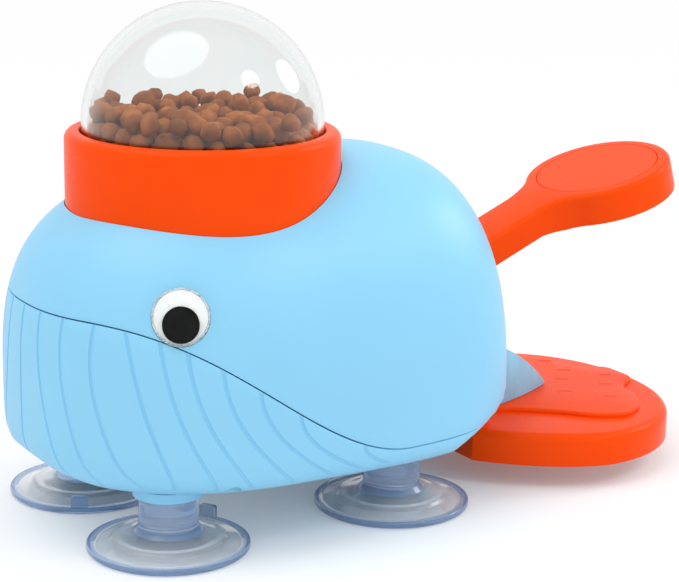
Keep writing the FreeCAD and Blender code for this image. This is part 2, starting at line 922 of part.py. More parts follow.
def discharge_chute():
    head = pivot_x - bay_radius
    lap = head - chute_head_lap
    wall_start = pivot_x - gate_radius + 1.5
    root = nose_x + lip_root_from_nose
    tip = nose_x + lip_tip_from_nose
    low = tray_top_height + fit_gap
    floor_end = chute_floor(root)
    half = chute_half_width
    top = lip_top_height
    knee = pivot_x - cradle_front - 3
    outside = side_prism([
        (head, chute_floor(head) - chute_wall),
        (lap, chute_floor(head) - chute_wall),
        (lap, chute_floor(head)),
        (head, chute_floor(head)),
        (wall_start, chute_floor(wall_start)),
        (wall_start, chute_floor(wall_start) + chute_side),
        (knee, top),
        (root, top),
        (root, low),
        (root - 6, low),
    ], half + chute_wall)
    lip = lip_plan(0, low, top)
    lip = lip.cut(block(root - 30, root - 1, -body_width, body_width, 0, top + 20))
    brow_x = root + 14
    brow = Part.Face(Part.Wire([
        Part.Arc(Vector(brow_x, -40, top), Vector(brow_x + 18, -40, top - 9.5), Vector(tip + 1, -40, low)).toShape(),
        Part.makeLine(Vector(tip + 1, -40, low), Vector(tip + 9, -40, low)),
        Part.makeLine(Vector(tip + 9, -40, low), Vector(tip + 9, -40, top + 9)),
        Part.makeLine(Vector(tip + 9, -40, top + 9), Vector(brow_x, -40, top + 9)),
        Part.makeLine(Vector(brow_x, -40, top + 9), Vector(brow_x, -40, top)),
    ])).extrude(across * 80)
    lip = lip.cut(brow)
    whole = joined([outside, lip])
    channel = side_prism([
        (lap - 1, chute_floor(lap)),
        (head, chute_floor(head)),
        (root, floor_end),
        (root, top + 60),
        (lap - 1, top + 60),
    ], half)
    basin = lip_plan(-chute_wall, low + lip_floor, top + 20)
    basin = basin.cut(block(root - 40, root, -body_width, body_width, 0, top + 60))
    return whole.cut(channel).cut(basin)


# Tray

def tray_ring(inset, z):
    # Broad at the middle, cut straight at the front where it tucks under the tail
    front = nose_x + tray_front_from_nose + inset
    widest = nose_x + tray_widest_from_nose
    rear = nose_x + tray_rear_from_nose - inset
    half = tray_half_width - inset
    bow = tray_front_bow - inset
    bend = 2 / tray_plan_power
    start = math.asin(((widest - front) / bow) ** (1 / bend))
    points = []
    for k in range(tray_steps):
        angle = start * (1 - k / tray_steps)
        x = widest - bow * math.sin(angle) ** bend
        points.append(Vector(x, half * math.cos(angle) ** bend, z))
    for k in range(tray_steps):
        angle = math.pi / 2 * k / tray_steps
        x = widest + (rear - widest) * math.sin(angle) ** bend
        points.append(Vector(x, half * math.cos(angle) ** bend, z))
    other = [Vector(p.x, -p.y, p.z) for p in reversed(points)]
    return points + [Vector(rear, 0, z)] + other


def tray_form(levels):
    # Trays inside one another, given as (inset, height)
    return netted([tray_ring(inset, z) for inset, z in levels], None, None)


def tray_screw_seat():
    return tray_top_height - tray_depth + 6.0


def pan_notch():
    # Pointed stop that the rear rim pushes into the pan
    rear = nose_x + tray_rear_from_nose - pan_rim
    half = pan_notch_half_width
    low = tray_top_height - pan_depth - 1
    corners = [
        Vector(rear + 2, -half, low),
        Vector(rear - pan_notch_reach, 0, low),
        Vector(rear + 2, half, low),
    ]
    return filled(corners).extrude(up * (pan_depth + 9))


def food_tray():
    low = tray_top_height - tray_depth
    top = tray_top_height
    tray = tray_form([(0, low), (0, top - tray_edge), (tray_edge * 0.3, top - tray_edge * 0.3), (tray_edge, top)])
    under = tray_form([(tray_skin, low - 1), (tray_skin, top - pan_depth - tray_skin)])
    for x, y in tray_screw_places():
        under = under.cut(post(boss_radius, x, y, low - 2, tray_top_height))
    tray = tray.cut(under)
    pan = tray_form([(pan_rim, top - pan_depth), (pan_rim, top + 5)])
    tray = tray.cut(pan.cut(pan_notch()))
    stands = []
    for x, y in tray_screw_places():
        stands.append(post(boss_radius, x, y, tray_top_height - pan_depth - 1, tray_top_height + 6))
    stands = joined(stands).cut(body_form(0, skin_columns, skin_stations))
    stands = stands.common(block(nose_x, tail_x, -body_width, body_width, 0, tray_top_height + 3))
    tray = tray.fuse(stands)
    for x, y in tray_screw_places():
        tray = tray.cut(post(screw_head_radius + fit_gap, x, y, low - 1, tray_screw_seat()))
        tray = tray.cut(post(screw_hole, x, y, low, tray_top_height + 10))
    return tray


# Suction cups

def suction_cup(x, y):
    # Thin disc with a rolled rim, stepped top, thick stem and a knob that snaps in
    seat = cup_seat_height
    knob = seat + cup_seat_floor + fit_gap
    profile = [
        (0, 3.4),
        (cup_radius - cup_land - 0.8, 0),
        (cup_radius - 0.8, 0),
        (cup_radius, 1.0),
        (cup_radius, 2.4),
        (cup_radius - 2.2, 2.7),
        (cup_radius * 0.69, 4.4),
        (cup_radius * 0.66, 5.4),
        (cup_radius * 0.5, 6.5),
        (cup_stem_radius, 8.2),
        (cup_stem_radius, seat),
        (cup_neck_radius, seat),
        (cup_neck_radius, knob),
        (cup_knob_radius, knob),
        (cup_knob_radius - 1.6, knob + cup_knob_height),
        (0, knob + cup_knob_height),
    ]
    return turned(profile, x, y)


# Eyes

def eye_frame(side):
    # Centre on the body's surface and the direction that the eye looks in
    x = nose_x + eye_from_nose
    y = side * body_side(x, eye_height)
    step = 0.01
    z = eye_height
    normal = Vector(
        body_level(x + step, y, z) - body_level(x - step, y, z),
        body_level(x, y + step, z) - body_level(x, y - step, z),
        body_level(x, y, z + step) - body_level(x, y, z - step),
    )
    return Vector(x, y, eye_height), normal.normalize()


def on_eye(shape, side, shift):
    # From the eye's own frame, looking up from its seat, to its place on the body
    centre, look = eye_frame(side)
    moved = shape.copy()
    moved.Placement = FreeCAD.Placement(centre + shift - look * eye_sink, FreeCAD.Rotation(up, look))
    return moved


def eye_recess(side):
    return on_eye(post(eye_radius + fit_gap / 2, 0, 0, 0, 12), side, Vector())


def eye_backing(side):
    return on_eye(post(eye_radius, 0, 0, 0, eye_backing_thickness), side, Vector())


def eye_cover(side):
    # Clear cap: short side wall, then a low dome
    base = eye_backing_thickness
    inner = eye_radius - eye_cover_wall
    wall_top = base + 2.2
    profile = [
        (eye_radius, base),
        (eye_radius, wall_top),
        (eye_radius * 0.8, base + eye_cover_height * 0.85),
        (eye_radius * 0.4, base + eye_cover_height),
        (0, base + eye_cover_height),
        (0, base + eye_cover_height - eye_cover_wall),
        (inner * 0.4, base + eye_cover_height - eye_cover_wall),
        (inner * 0.8, base + eye_cover_height * 0.85 - eye_cover_wall),
        (inner, wall_top - eye_cover_wall / 2),
        (inner, base),
    ]
    return on_eye(turned(profile, 0, 0), side, Vector())


def eye_down(side):
    # The way a loose pupil falls inside the eye
    centre, look = eye_frame(side)
    down = Vector(0, 0, -1)
    return (down - look * down.dot(look)).normalize()


def eye_pupil(side):
    drop = eye_radius - eye_cover_wall - pupil_radius - pupil_play
    base = eye_backing_thickness + pupil_play
    disc = post(pupil_radius, 0, 0, base, base + pupil_thickness)
    return on_eye(disc, side, eye_down(side) * drop)


# Screws in groups

def shell_screws():
    return Part.makeCompound([screw(x, y, z, shell_screw_length) for x, y, z in shell_screw_places()])


def collar_screws():
    return Part.makeCompound([screw(x, y, z, collar_screw_length) for x, y, z in collar_screw_places()])


def cradle_screws():
    seat = leg_foot_height - 3.0
    return Part.makeCompound([screw(x, y, seat, cradle_screw_length) for x, y in cradle_leg_places()])


def tray_screws():
    seat = tray_screw_seat()
    return Part.makeCompound([screw(x, y, seat, tray_screw_length) for x, y in tray_screw_places()])


# Write every piece

nodes = {
    "upper_shell": upper_shell(),
    "belly_shell": belly_shell(),
    "hopper_collar": hopper_collar(),
    "dome_lid": dome_lid(),
    "hopper_funnel": hopper_funnel(),
    "press_lever": press_lever(),
    "gate_plate": gate_plate(),
    "lever_cradle": lever_cradle(),
    "pivot_bushes": pivot_bushes(),
    "pivot_pin": pivot_pin(),
    "pin_clip": pin_clip(),
    "return_spring": return_spring(),
    "discharge_chute": discharge_chute(),
    "food_tray": food_tray(),
    "shell_screws": shell_screws(),
    "collar_screws": collar_screws(),
    "cradle_screws": cradle_screws(),
    "tray_screws": tray_screws(),
}
for name, (x, y) in cup_places().items():
    nodes["suction_cup_" + name] = suction_cup(x, y)
for name, side in (("left", -1), ("right", 1)):
    nodes["eye_backing_" + name] = eye_backing(side)
    nodes["eye_cover_" + name] = eye_cover(side)
    nodes["eye_pupil_" + name] = eye_pupil(side)

for name, shape in nodes.items():
    shape.exportStep("parts/" + name + ".step")
    print(name, len(shape.Solids), round(shape.Volume), shape.isValid())
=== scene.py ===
import math
import random

import bmesh
import bpy
from mathutils import Matrix, Vector, noise


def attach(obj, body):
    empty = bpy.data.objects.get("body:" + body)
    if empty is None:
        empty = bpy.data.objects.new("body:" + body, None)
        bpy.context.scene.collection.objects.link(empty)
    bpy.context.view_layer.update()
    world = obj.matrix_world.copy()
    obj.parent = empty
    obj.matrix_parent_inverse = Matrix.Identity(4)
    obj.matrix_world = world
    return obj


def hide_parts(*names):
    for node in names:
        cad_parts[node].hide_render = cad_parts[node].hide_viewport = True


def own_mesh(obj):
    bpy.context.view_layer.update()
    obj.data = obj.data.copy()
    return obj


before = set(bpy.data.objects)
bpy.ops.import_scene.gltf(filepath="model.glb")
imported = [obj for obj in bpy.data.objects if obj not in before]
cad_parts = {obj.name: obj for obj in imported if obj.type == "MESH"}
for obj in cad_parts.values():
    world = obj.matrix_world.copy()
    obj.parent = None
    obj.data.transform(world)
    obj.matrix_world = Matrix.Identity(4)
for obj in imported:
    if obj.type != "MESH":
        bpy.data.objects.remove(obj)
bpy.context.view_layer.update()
scene = bpy.context.scene
mm = 0.001


# Camera
# It stands off the feeder's left side, ahead of the nose and a little above the
# collar, with the long lens of a product picture.
camera_place = Vector((-415.3, -660.0, 272.1)) * mm
camera_yaw = math.radians(31.42)
camera_pitch = math.radians(14.14)
camera_roll = math.radians(0.8)
camera_lens = 107.4
camera_sensor = 36.0

camera_data = bpy.data.cameras.new("camera")
camera_data.sensor_width = camera_sensor
camera_data.lens = camera_lens
camera_data.clip_start = 0.05
camera_data.clip_end = 60.0
camera = bpy.data.objects.new("camera", camera_data)
scene.collection.objects.link(camera)
looking = Vector((
    math.sin(camera_yaw) * math.cos(camera_pitch),
    math.cos(camera_yaw) * math.cos(camera_pitch),
    -math.sin(camera_pitch),
))
level = Vector((math.cos(camera_yaw), -math.sin(camera_yaw), 0.0))
upward = level.cross(looking)
right_hand = level * math.cos(camera_roll) + upward * math.sin(camera_roll)
head_up = upward * math.cos(camera_roll) - level * math.sin(camera_roll)
turn = Matrix((right_hand, head_up, -looking)).transposed()
camera.matrix_world = Matrix.Translation(camera_place) @ turn.to_4x4()
scene.camera = camera


# Studio
# A white paper sweep in a white room, under a broad overhead light and two smaller
# ones to the right, which give the moulded edges their small highlights.
scene.view_settings.view_transform = "Standard"
surround_light = 0.86
surround_seen = 1.0
overhead_power = 6.4
overhead_size = 1.2
side_power = 3.2
side_size = 0.5
front_power = 2.4
front_size = 0.36
floor_colour = "#F8F8F8"
floor_reach = 14.0
lamp_target = Vector((0.0, 0.0, 0.08))
overhead_place = Vector((-0.55, 0.05, 1.35))
side_place = Vector((1.15, -0.16, 0.72))
front_place = Vector((0.48, -0.86, 1.05))
glow_start = 0.0
glow_end = 0.38
glow_least = 0.1
glow_most = 0.93


def paint(code):
    # A colour as it is written on screen, turned to linear light
    channels = [int(code[k:k + 2], 16) / 255 for k in (1, 3, 5)]
    linear = [
        c / 12.92 if c <= 0.04045 else ((c + 0.055) / 1.055) ** 2.4 for c in channels
    ]
    return (*linear, 1.0)


def add_node(tree, kind, settings, links):
    # A node with its settings, and its inputs linked to other nodes' outputs
    node = tree.nodes.new("ShaderNode" + kind)
    for name, value in settings.items():
        if isinstance(name, str) and hasattr(node, name):
            setattr(node, name, value)
        else:
            node.inputs[name].default_value = value
    for name, source in links.items():
        tree.links.new(source, node.inputs[name])
    return node


def seen_directly(tree):
    # 1 where the camera, a reflection or a clear part looks at this, 0 for its light
    path = add_node(tree, "LightPath", {}, {})
    either = add_node(tree, "Math", {"operation": "MAXIMUM"}, {
        0: path.outputs["Is Camera Ray"],
        1: path.outputs["Is Glossy Ray"],
    })
    return add_node(tree, "Math", {"operation": "MAXIMUM"}, {
        0: either.outputs[0],
        1: path.outputs["Is Transmission Ray"],
    }).outputs[0]


world = bpy.data.worlds.new("studio")
world.use_nodes = True
world.node_tree.nodes.clear()
scene.world = world
light_share = add_node(world.node_tree, "MapRange", {
    "To Min": surround_light,
    "To Max": surround_seen,
}, {"Value": seen_directly(world.node_tree)})
background = add_node(world.node_tree, "Background", {
    "Color": (1.0, 1.0, 1.0, 1.0),
}, {"Strength": light_share.outputs["Result"]})
add_node(world.node_tree, "OutputWorld", {}, {"Surface": background.outputs[0]})


def new_material(name):
    # A bare material, its node tree, and the place on the piece for its patterns
    material = bpy.data.materials.new(name)
    material.use_nodes = True
    tree = material.node_tree
    tree.nodes.clear()
    return material, tree, add_node(tree, "TexCoord", {}, {}).outputs["Object"]


def soft_lamp(name, place, size, power):
    # A round soft light that looks at the feeder
    data = bpy.data.lights.new(name, "AREA")
    data.shape = "DISK"
    data.size = size
    data.energy = power
    lamp = bpy.data.objects.new(name, data)
    scene.collection.objects.link(lamp)
    aim = (lamp_target - place).to_track_quat("-Z", "Y").to_matrix().to_4x4()
    lamp.matrix_world = Matrix.Translation(place) @ aim


soft_lamp("overhead_lamp", overhead_place, overhead_size, overhead_power)
soft_lamp("side_lamp", side_place, side_size, side_power)
soft_lamp("front_lamp", front_place, front_size, front_power)

floor_mesh = bpy.data.meshes.new("floor")
bm = bmesh.new()
bmesh.ops.create_grid(bm, x_segments=1, y_segments=1, size=floor_reach)
bm.to_mesh(floor_mesh)
bm.free()
floor = bpy.data.objects.new("floor", floor_mesh)
scene.collection.objects.link(floor)

# Matt paper, which keeps the feeder's shadow and burns out to white further off
paper, tree, place = new_material("white_paper")
matt = add_node(tree, "BsdfDiffuse", {"Color": paint(floor_colour)}, {})
glow = add_node(tree, "Emission", {"Color": (1.0, 1.0, 1.0, 1.0)}, {})
distance = add_node(tree, "VectorMath", {"operation": "LENGTH"}, {0: place})
far_share = add_node(tree, "MapRange", {
    "interpolation_type": "SMOOTHSTEP",
    "From Min": glow_start,
    "From Max": glow_end,
    "To Min": glow_least,
    "To Max": glow_most,
}, {"Value": distance.outputs["Value"]})
glow_share = add_node(tree, "Math", {"operation": "MULTIPLY"}, {
    0: seen_directly(tree),
    1: far_share.outputs["Result"],
})
mix = add_node(tree, "MixShader", {}, {
    0: glow_share.outputs[0],
    1: matt.outputs[0],
    2: glow.outputs[0],
})
add_node(tree, "OutputMaterial", {}, {"Surface": mix.outputs[0]})
floor_mesh.materials.append(paper)


# Body shells
# Upper shell and belly, two injection mouldings in sky blue ABS that meet along the
# mouth line. The mould was lightly blasted, so they are satin, and the throat pleats
# are grooves in the belly. Sizes here are in millimetres, as on the drawing.
body_blue = "#8ACDEE"
body_blue_deep = "#84C8EB"
nose = -146.8
tail = 44.4
body_half_width = 72.0
crown_height = 136.3
belly_height = 22.0
nose_middle = 55.7
tail_middle = 44.0
widest = nose + 84.4
crown = nose + 129.2
lowest = nose + 148.0
side_powers = (2.3, 3.33)
top_powers = (3.2, 2.89)
under_powers = (6.1, 1.05)
upper_power = 2.48
lower_power = 4.8
shell_wall = 2.4
mouth_front = 88.5
mouth_rear = 34.8
mouth_start = nose + 8.5
mouth_length = 116.0
mouth_gap = 0.4
mouth_round = 0.45
side_pleats_from_nose = (19.8, 28.9, 36.9, 47.8, 60.7, 75.7, 102.4)
front_pleats_across = (0.0, 12.5, 25.0, 37.5)
pleat_sweep = 6.7
pleat_sweep_grows = 24
front_pleat_spread = 6.3
pleat_reach = 40
pleat_foot = 27.5
pleat_foot_share = 0.25
pleat_overrun = 3
pleat_fade = 7.0
pleat_radius = 0.85
pleat_depth = 0.62
plastic_grain = 1.6
pigment_cloud = 38
crease_angle = math.radians(34)
edge_angle = math.radians(50)
skin_centre = Vector((-51.2, 0.0, 60.0))
skin_reach = 160.0
skin_halvings = 30
mouth_reach = 0.8
mouth_halvings = 22
skin_columns = 224
skin_rows = 96
collar_place = nose + 74.5
collar_pocket = 51.6
collar_seat = 113.0
collar_floor_lap = 1.6
collar_bore = 42.0
pivot = Vector((15.7, 0.0, 72.0))
arm_slot_low = 69.45
arm_slot_high = 91.37
arm_slot_half = 12.8
sides = {"left": -1, "right": 1}
eye_places = {
    side: (Vector((-110.4, out * 56.30, 92.0)), Vector((-0.424003, out * 0.838530, 0.342182)))
    for side, out in sides.items()
}
eye_recess_radius = 10.35
eye_recess_reach = 12.0
eye_sink = 1.2
cup_radius = 30.0
cup_seat_radius = 13.0
cup_seat_height = 21.0
cup_seat_thick = 3.6
cup_places = {
    end + "_" + side: Vector((along, out * 35.7, 0.0))
    for end, along in {"front": -105.5, "rear": -9.1}.items() for side, out in sides.items()
}
screw_bore = 3.1
shell_screw_places = ((-92.8, 61.5, 65.0), (11.2, 55.0, 32.0))
cradle_screw_places = ((9.3, 24.5), (26.7, 24.5))
cradle_screw_seat = 27.5
leg_boss_radius = 6.0
leg_boss_foot = 24.4
leg_boss_top = 38.5
lip_root = nose + 184.0
lip_tip = nose + 237.5
lip_top = 51.5
lip_low = 24.5
lip_half = 20.0
lip_waist = 0.64
lip_throat = 26.0
lip_gap = 0.3


def falloff(share, power):
    # What is left of a full size at this share of the way to where it ends
    return max(0.0, 1.0 - min(1.0, abs(share)) ** power) ** (1.0 / power)


def swell(x, peak, powers):
    # The share of a full size that the body has here, between nose, peak and tail
    if x < peak:
        return falloff((peak - x) / (peak - nose), powers[0])
    return falloff((x - peak) / (tail - peak), powers[1])


def body_station(x):
    # Half width, middle height, height above it and depth below it
    middle = nose_middle + (tail_middle - nose_middle) * (x - nose) / (tail - nose)
    half = body_half_width * swell(x, widest, side_powers)
    rise = (crown_height - middle) * swell(x, crown, top_powers)
    depth = (middle - belly_height) * swell(x, lowest, under_powers)
    return half, middle, rise, depth


def body_level(p):
    # Below 1 inside the body and above 1 outside it
    if not nose < p.x < tail:
        return 2.0
    half, middle, rise, depth = body_station(p.x)
    tall, power = (rise, upper_power) if p.z >= middle else (depth, lower_power)
    return abs(p.y / half) ** power + abs((p.z - middle) / tall) ** power


def body_side(x, z):
    # Half the body's width at one height
    half, middle, rise, depth = body_station(x)
    tall, power = (rise, upper_power) if z >= middle else (depth, lower_power)
    return half * falloff((z - middle) / tall, power)


def eased(size, share):
    # A size on its way from nothing to full, with a soft start and end
    share = min(1.0, max(0.0, share))
    return size * share * share * (3 - 2 * share)


def mouth_height(x):
    return mouth_front - eased(mouth_front - mouth_rear, (x - mouth_start) / mouth_length)


def on_skin(start, way):
    # Where a line from inside the body comes out through the skin
    near, far = 0.0, skin_reach
    for step in range(skin_halvings):
        reach = (near + far) / 2
        if body_level(start + way * reach) < 1:
            near = reach
        else:
            far = reach
    return start + way * near


def way_of(azimuth, elevation):
    # The direction with this bearing and this rise, both in radians
    flat = math.cos(elevation)
    return Vector((flat * math.cos(azimuth), flat * math.sin(azimuth), math.sin(elevation)))


def mouth_elevation(azimuth, lift):
    # How far up the mouth line is, seen from the middle of the body
    low, high = -mouth_reach, mouth_reach
    for step in range(mouth_halvings):
        elevation = (low + high) / 2
        p = on_skin(skin_centre, way_of(azimuth, elevation))
        if p.z < mouth_height(p.x) + lift:
            low = elevation
        else:
            high = elevation
    return low


def body_skin(side):
    # Half of a globe, its equator laid on the mouth line and the rest on the body's form
    bm = bmesh.new()
    bmesh.ops.create_uvsphere(bm, u_segments=skin_columns, v_segments=skin_rows, radius=1.0)
    whole = bm.verts[:] + bm.edges[:] + bm.faces[:]
    bmesh.ops.bisect_plane(
        bm, geom=whole, dist=1e-5, plane_co=(0, 0, 0), plane_no=(0, 0, side),
        clear_inner=True,
    )
    seams = {}
    for vert in bm.verts:
        azimuth = math.atan2(vert.co.y, vert.co.x)
        key = round(azimuth, 4)
        if key not in seams:
            seams[key] = mouth_elevation(azimuth, side * mouth_gap / 2)
        share = abs(math.asin(max(-1.0, min(1.0, vert.co.z)))) / (math.pi / 2)
        elevation = seams[key] + (side * math.pi / 2 - seams[key]) * share
        vert.co = on_skin(skin_centre, way_of(azimuth, elevation)) * mm
    return bm


def smooth_off(mesh):
    # Smooth where the faces nearly align, sharp along the edges
    mesh.shade_smooth()
    mesh.set_sharp_from_angle(angle=crease_angle)


def make_piece(name, bm, material=None):
    # A finished mesh as an object at the origin; a tool for cutting has no material
    mesh = bpy.data.meshes.new(name)
    bm.to_mesh(mesh)
    bm.free()
    smooth_off(mesh)
    if material is not None:
        mesh.materials.append(material)
    piece = bpy.data.objects.new(name, mesh)
    scene.collection.objects.link(piece)
    return piece


def settle(piece):
    # The mesh as its modifiers leave it
    graph = bpy.context.evaluated_depsgraph_get()
    mesh = bpy.data.meshes.new_from_object(piece.evaluated_get(graph))
    piece.modifiers.clear()
    piece.data = mesh
    smooth_off(mesh)


def carve(piece, tools, operation="DIFFERENCE"):
    # Cuts the closed tools out of a piece, or adds them to it
    for tool in tools:
        cut = piece.modifiers.new("cut", "BOOLEAN")
        cut.operation = operation
        cut.solver = "EXACT"
        cut.object = tool
    settle(piece)
    for tool in tools:
        bpy.data.objects.remove(tool)


def round_tool(radius, low, high, place, steps=96):
    # An upright cylinder, to cut with or to add
    bm = bmesh.new()
    bmesh.ops.create_cone(
        bm, cap_ends=True, segments=steps,
        radius1=radius * mm, radius2=radius * mm, depth=(high - low) * mm,
    )
    middle = (place[0] * mm, place[1] * mm, (low + high) / 2 * mm)
    bmesh.ops.translate(bm, verts=bm.verts, vec=middle)
    return make_piece("tool", bm)


def soften(bm, edges, offset, steps):
    bmesh.ops.bevel(
        bm, geom=edges, offset=offset * mm, segments=steps, profile=0.5,
        affect="EDGES", material=-1,
    )


def box_tool(low, high, soft):
    # A block between two corners, with its long edges softened
    bm = bmesh.new()
    bmesh.ops.create_cube(bm, size=1.0)
    bmesh.ops.scale(bm, verts=bm.verts, vec=(Vector(high) - Vector(low)) * mm)
    bmesh.ops.translate(bm, verts=bm.verts, vec=(Vector(high) + Vector(low)) * mm / 2)
    along = [e for e in bm.edges if abs(e.verts[0].co.x - e.verts[1].co.x) > 1e-5]
    soften(bm, along, soft, 4)
    return make_piece("tool", bm)


def side_pleat(from_nose, side):
    # Groove that sweeps back from the mouth line along one side
    start = nose + from_nose
    top = mouth_height(start)
    sweep = pleat_sweep * math.exp((from_nose - side_pleats_from_nose[0]) / pleat_sweep_grows)
    line = []
    for k in range(round(top - pleat_foot) + pleat_overrun):
        z = top + 1 - k
        x = start + sweep * ((top - z) / pleat_reach) ** 2
        line.append(Vector((x, side * body_side(x, z), z)))
    return line


def front_pleat(across, side):
    # Groove that runs down the front, spreading a little
    line = []
    for k in range(round(mouth_front - pleat_foot) + pleat_overrun):
        z = mouth_front + 1 - k
        spread = front_pleat_spread if across else 0.0
        y = side * (across + spread * ((mouth_front - z) / pleat_reach) ** 2)
        line.append(on_skin(Vector((skin_centre.x, y, z)), Vector((-1, 0, 0))))
    return line


def groove_tool(line):
    # Thin bar laid along the skin, which cuts a pleat and fades out at its foot
    curve = bpy.data.curves.new("pleat", "CURVE")
    curve.dimensions = "3D"
    curve.bevel_depth = pleat_radius * mm
    curve.bevel_resolution = 2
    curve.use_fill_caps = True
    run = curve.splines.new("POLY")
    run.points.add(len(line) - 1)
    for point, place in zip(run.points, line):
        point.co = (*(place + way_out(place) * (pleat_radius - pleat_depth)) * mm, 1.0)
        full = (place.z - pleat_foot + pleat_overrun) / pleat_fade
        point.radius = pleat_foot_share + eased(1 - pleat_foot_share, full)
    bar = bpy.data.objects.new("pleat", curve)
    scene.collection.objects.link(bar)
    graph = bpy.context.evaluated_depsgraph_get()
    mesh = bpy.data.meshes.new_from_object(bar.evaluated_get(graph))
    bpy.data.objects.remove(bar)
    bm = bmesh.new()
    bm.from_mesh(mesh)
    bmesh.ops.remove_doubles(bm, verts=bm.verts, dist=1e-7)
    bmesh.ops.recalc_face_normals(bm, faces=bm.faces)
    return make_piece("tool", bm)


def way_out(place):
    # The way straight out of the skin at a place on it
    step = 0.05
    slope = [
        body_level(place + Vector(way)) - body_level(place - Vector(way))
        for way in ((step, 0, 0), (0, step, 0), (0, 0, step))
    ]
    return Vector(slope).normalized()


def satin_plastic(name, colour, deep_colour, roughness, refraction, grain_depth_mm):
    # Moulded plastic: even colour with the faintest cloudiness of the pigment, and the
    # peel that a blasted mould leaves. That is finer than the picture can show, so it
    # is drawn as coarse as plastic_grain
    material, tree, place = new_material(name)
    cloud = add_node(tree, "TexNoise", {
        "Scale": 1 / (pigment_cloud * mm),
        "Detail": 2.0,
    }, {"Vector": place})
    tone = add_node(tree, "Mix", {
        "data_type": "RGBA",
        "clamp_factor": True,
        6: paint(colour),
        7: paint(deep_colour),
    }, {0: cloud.outputs["Fac"]})
    grain = add_node(tree, "TexNoise", {
        "Scale": 1 / (plastic_grain * mm),
        "Detail": 3.0,
    }, {"Vector": place})
    gloss = add_node(tree, "MapRange", {
        "From Min": 0.3,
        "From Max": 0.7,
        "To Min": roughness - 0.03,
        "To Max": roughness + 0.03,
    }, {"Value": grain.outputs["Fac"]})
    peel = add_node(tree, "Bump", {
        "Strength": 0.2,
        "Distance": grain_depth_mm * mm,
    }, {"Height": grain.outputs["Fac"]})
    surface = add_node(tree, "BsdfPrincipled", {"IOR": refraction}, {
        "Base Color": tone.outputs[2],
        "Roughness": gloss.outputs["Result"],
        "Normal": peel.outputs["Normal"],
    })
    add_node(tree, "OutputMaterial", {}, {"Surface": surface.outputs[0]})
    return material


# Satin, so that light lies on the body as a broad soft sheen
sky_blue_abs = satin_plastic("sky_blue_abs", body_blue, body_blue_deep, 0.42, 1.5, 0.02)

eye_tools = []
for centre, look in eye_places.values():
    tool = round_tool(eye_recess_radius, -eye_sink, eye_recess_reach, (0, 0), 64)
    facing = look.to_track_quat("Z", "Y").to_matrix().to_4x4()
    tool.data.transform(Matrix.Translation(centre * mm) @ facing)
    eye_tools.append(tool)


def arc_through(first, second, third, steps):
    # Points along the circle through three places, up to but not with the third
    a, b, c = Vector(first), Vector(second), Vector(third)
    d = 2 * (a.x * (b.y - c.y) + b.x * (c.y - a.y) + c.x * (a.y - b.y))
    aa, bb, cc = a.length_squared, b.length_squared, c.length_squared
    centre = Vector((
        (aa * (b.y - c.y) + bb * (c.y - a.y) + cc * (a.y - b.y)) / d,
        (aa * (c.x - b.x) + bb * (a.x - c.x) + cc * (b.x - a.x)) / d,
    ))
    start = math.atan2(a.y - centre.y, a.x - centre.x)
    end = math.atan2(c.y - centre.y, c.x - centre.x)
    sweep = (end - start + math.pi) % (2 * math.pi) - math.pi
    radius = (a - centre).length
    angles = [start + sweep * k / steps for k in range(steps)]
    return [(centre.x + radius * math.cos(t), centre.y + radius * math.sin(t)) for t in angles]


def lip_outline(grow, back=lip_root - lip_throat):
    # Plan of the spout: straight throat, then two long curves to the tip
    end = lip_tip + grow
    half = lip_half + grow
    line = [(back, half)]
    line += arc_through((lip_root, half), ((lip_root + end) / 2, half * lip_waist), (end, 0.0), 28)
    return line + [(end, 0.0)] + [(x, -y) for x, y in reversed(line)]


def prism(outline, low, high):
    # An outline drawn in plan, carried up from low to high
    bm = bmesh.new()
    corners = [bm.verts.new((x * mm, y * mm, low * mm)) for x, y in outline]
    base = bm.faces.new(corners)
    grown = bmesh.ops.extrude_face_region(bm, geom=[base])
    lifted = [item for item in grown["geom"] if isinstance(item, bmesh.types.BMVert)]
    bmesh.ops.translate(bm, verts=lifted, vec=(0, 0, (high - low) * mm))
    bmesh.ops.recalc_face_normals(bm, faces=bm.faces)
    return bm


def lip_tool():
    # The opening that the spout passes through, with its gap
    return make_piece("tool", prism(lip_outline(lip_gap), belly_height - 4, lip_top + lip_gap))


def wall_up(piece):
    # Gives a skin its wall inwards, and softens the rim along the mouth line
    wall = piece.modifiers.new("wall", "SOLIDIFY")
    wall.thickness = shell_wall * mm
    wall.offset = -1.0
    wall.use_even_offset = True
    rim = piece.modifiers.new("rim", "BEVEL")
    rim.width = mouth_round * mm
    rim.segments = 2
    rim.limit_method = "ANGLE"
    rim.angle_limit = edge_angle
    settle(piece)


upper = make_piece("upper_shell_skin", body_skin(1), sky_blue_abs)
wall_up(upper)
collar_axis = (collar_place, 0)
floor_radius = collar_pocket + collar_floor_lap
floor_ring = round_tool(floor_radius, collar_seat - shell_wall, collar_seat, collar_axis)
arm_slot = box_tool(
    (pivot.x + 8, -arm_slot_half, arm_slot_low), (tail + 10, arm_slot_half, arm_slot_high), 1.2
)
carve(upper, [
    round_tool(collar_pocket, collar_seat, crown_height + 30, collar_axis, 192),
    arm_slot,
    lip_tool(),
    *eye_tools,
])
carve(floor_ring, [round_tool(collar_bore, 100, 120, collar_axis)])
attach(upper, "root")
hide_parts("upper_shell")
floor_ring.name = "collar_floor"
floor_ring.data.materials.append(sky_blue_abs)
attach(floor_ring, "root")

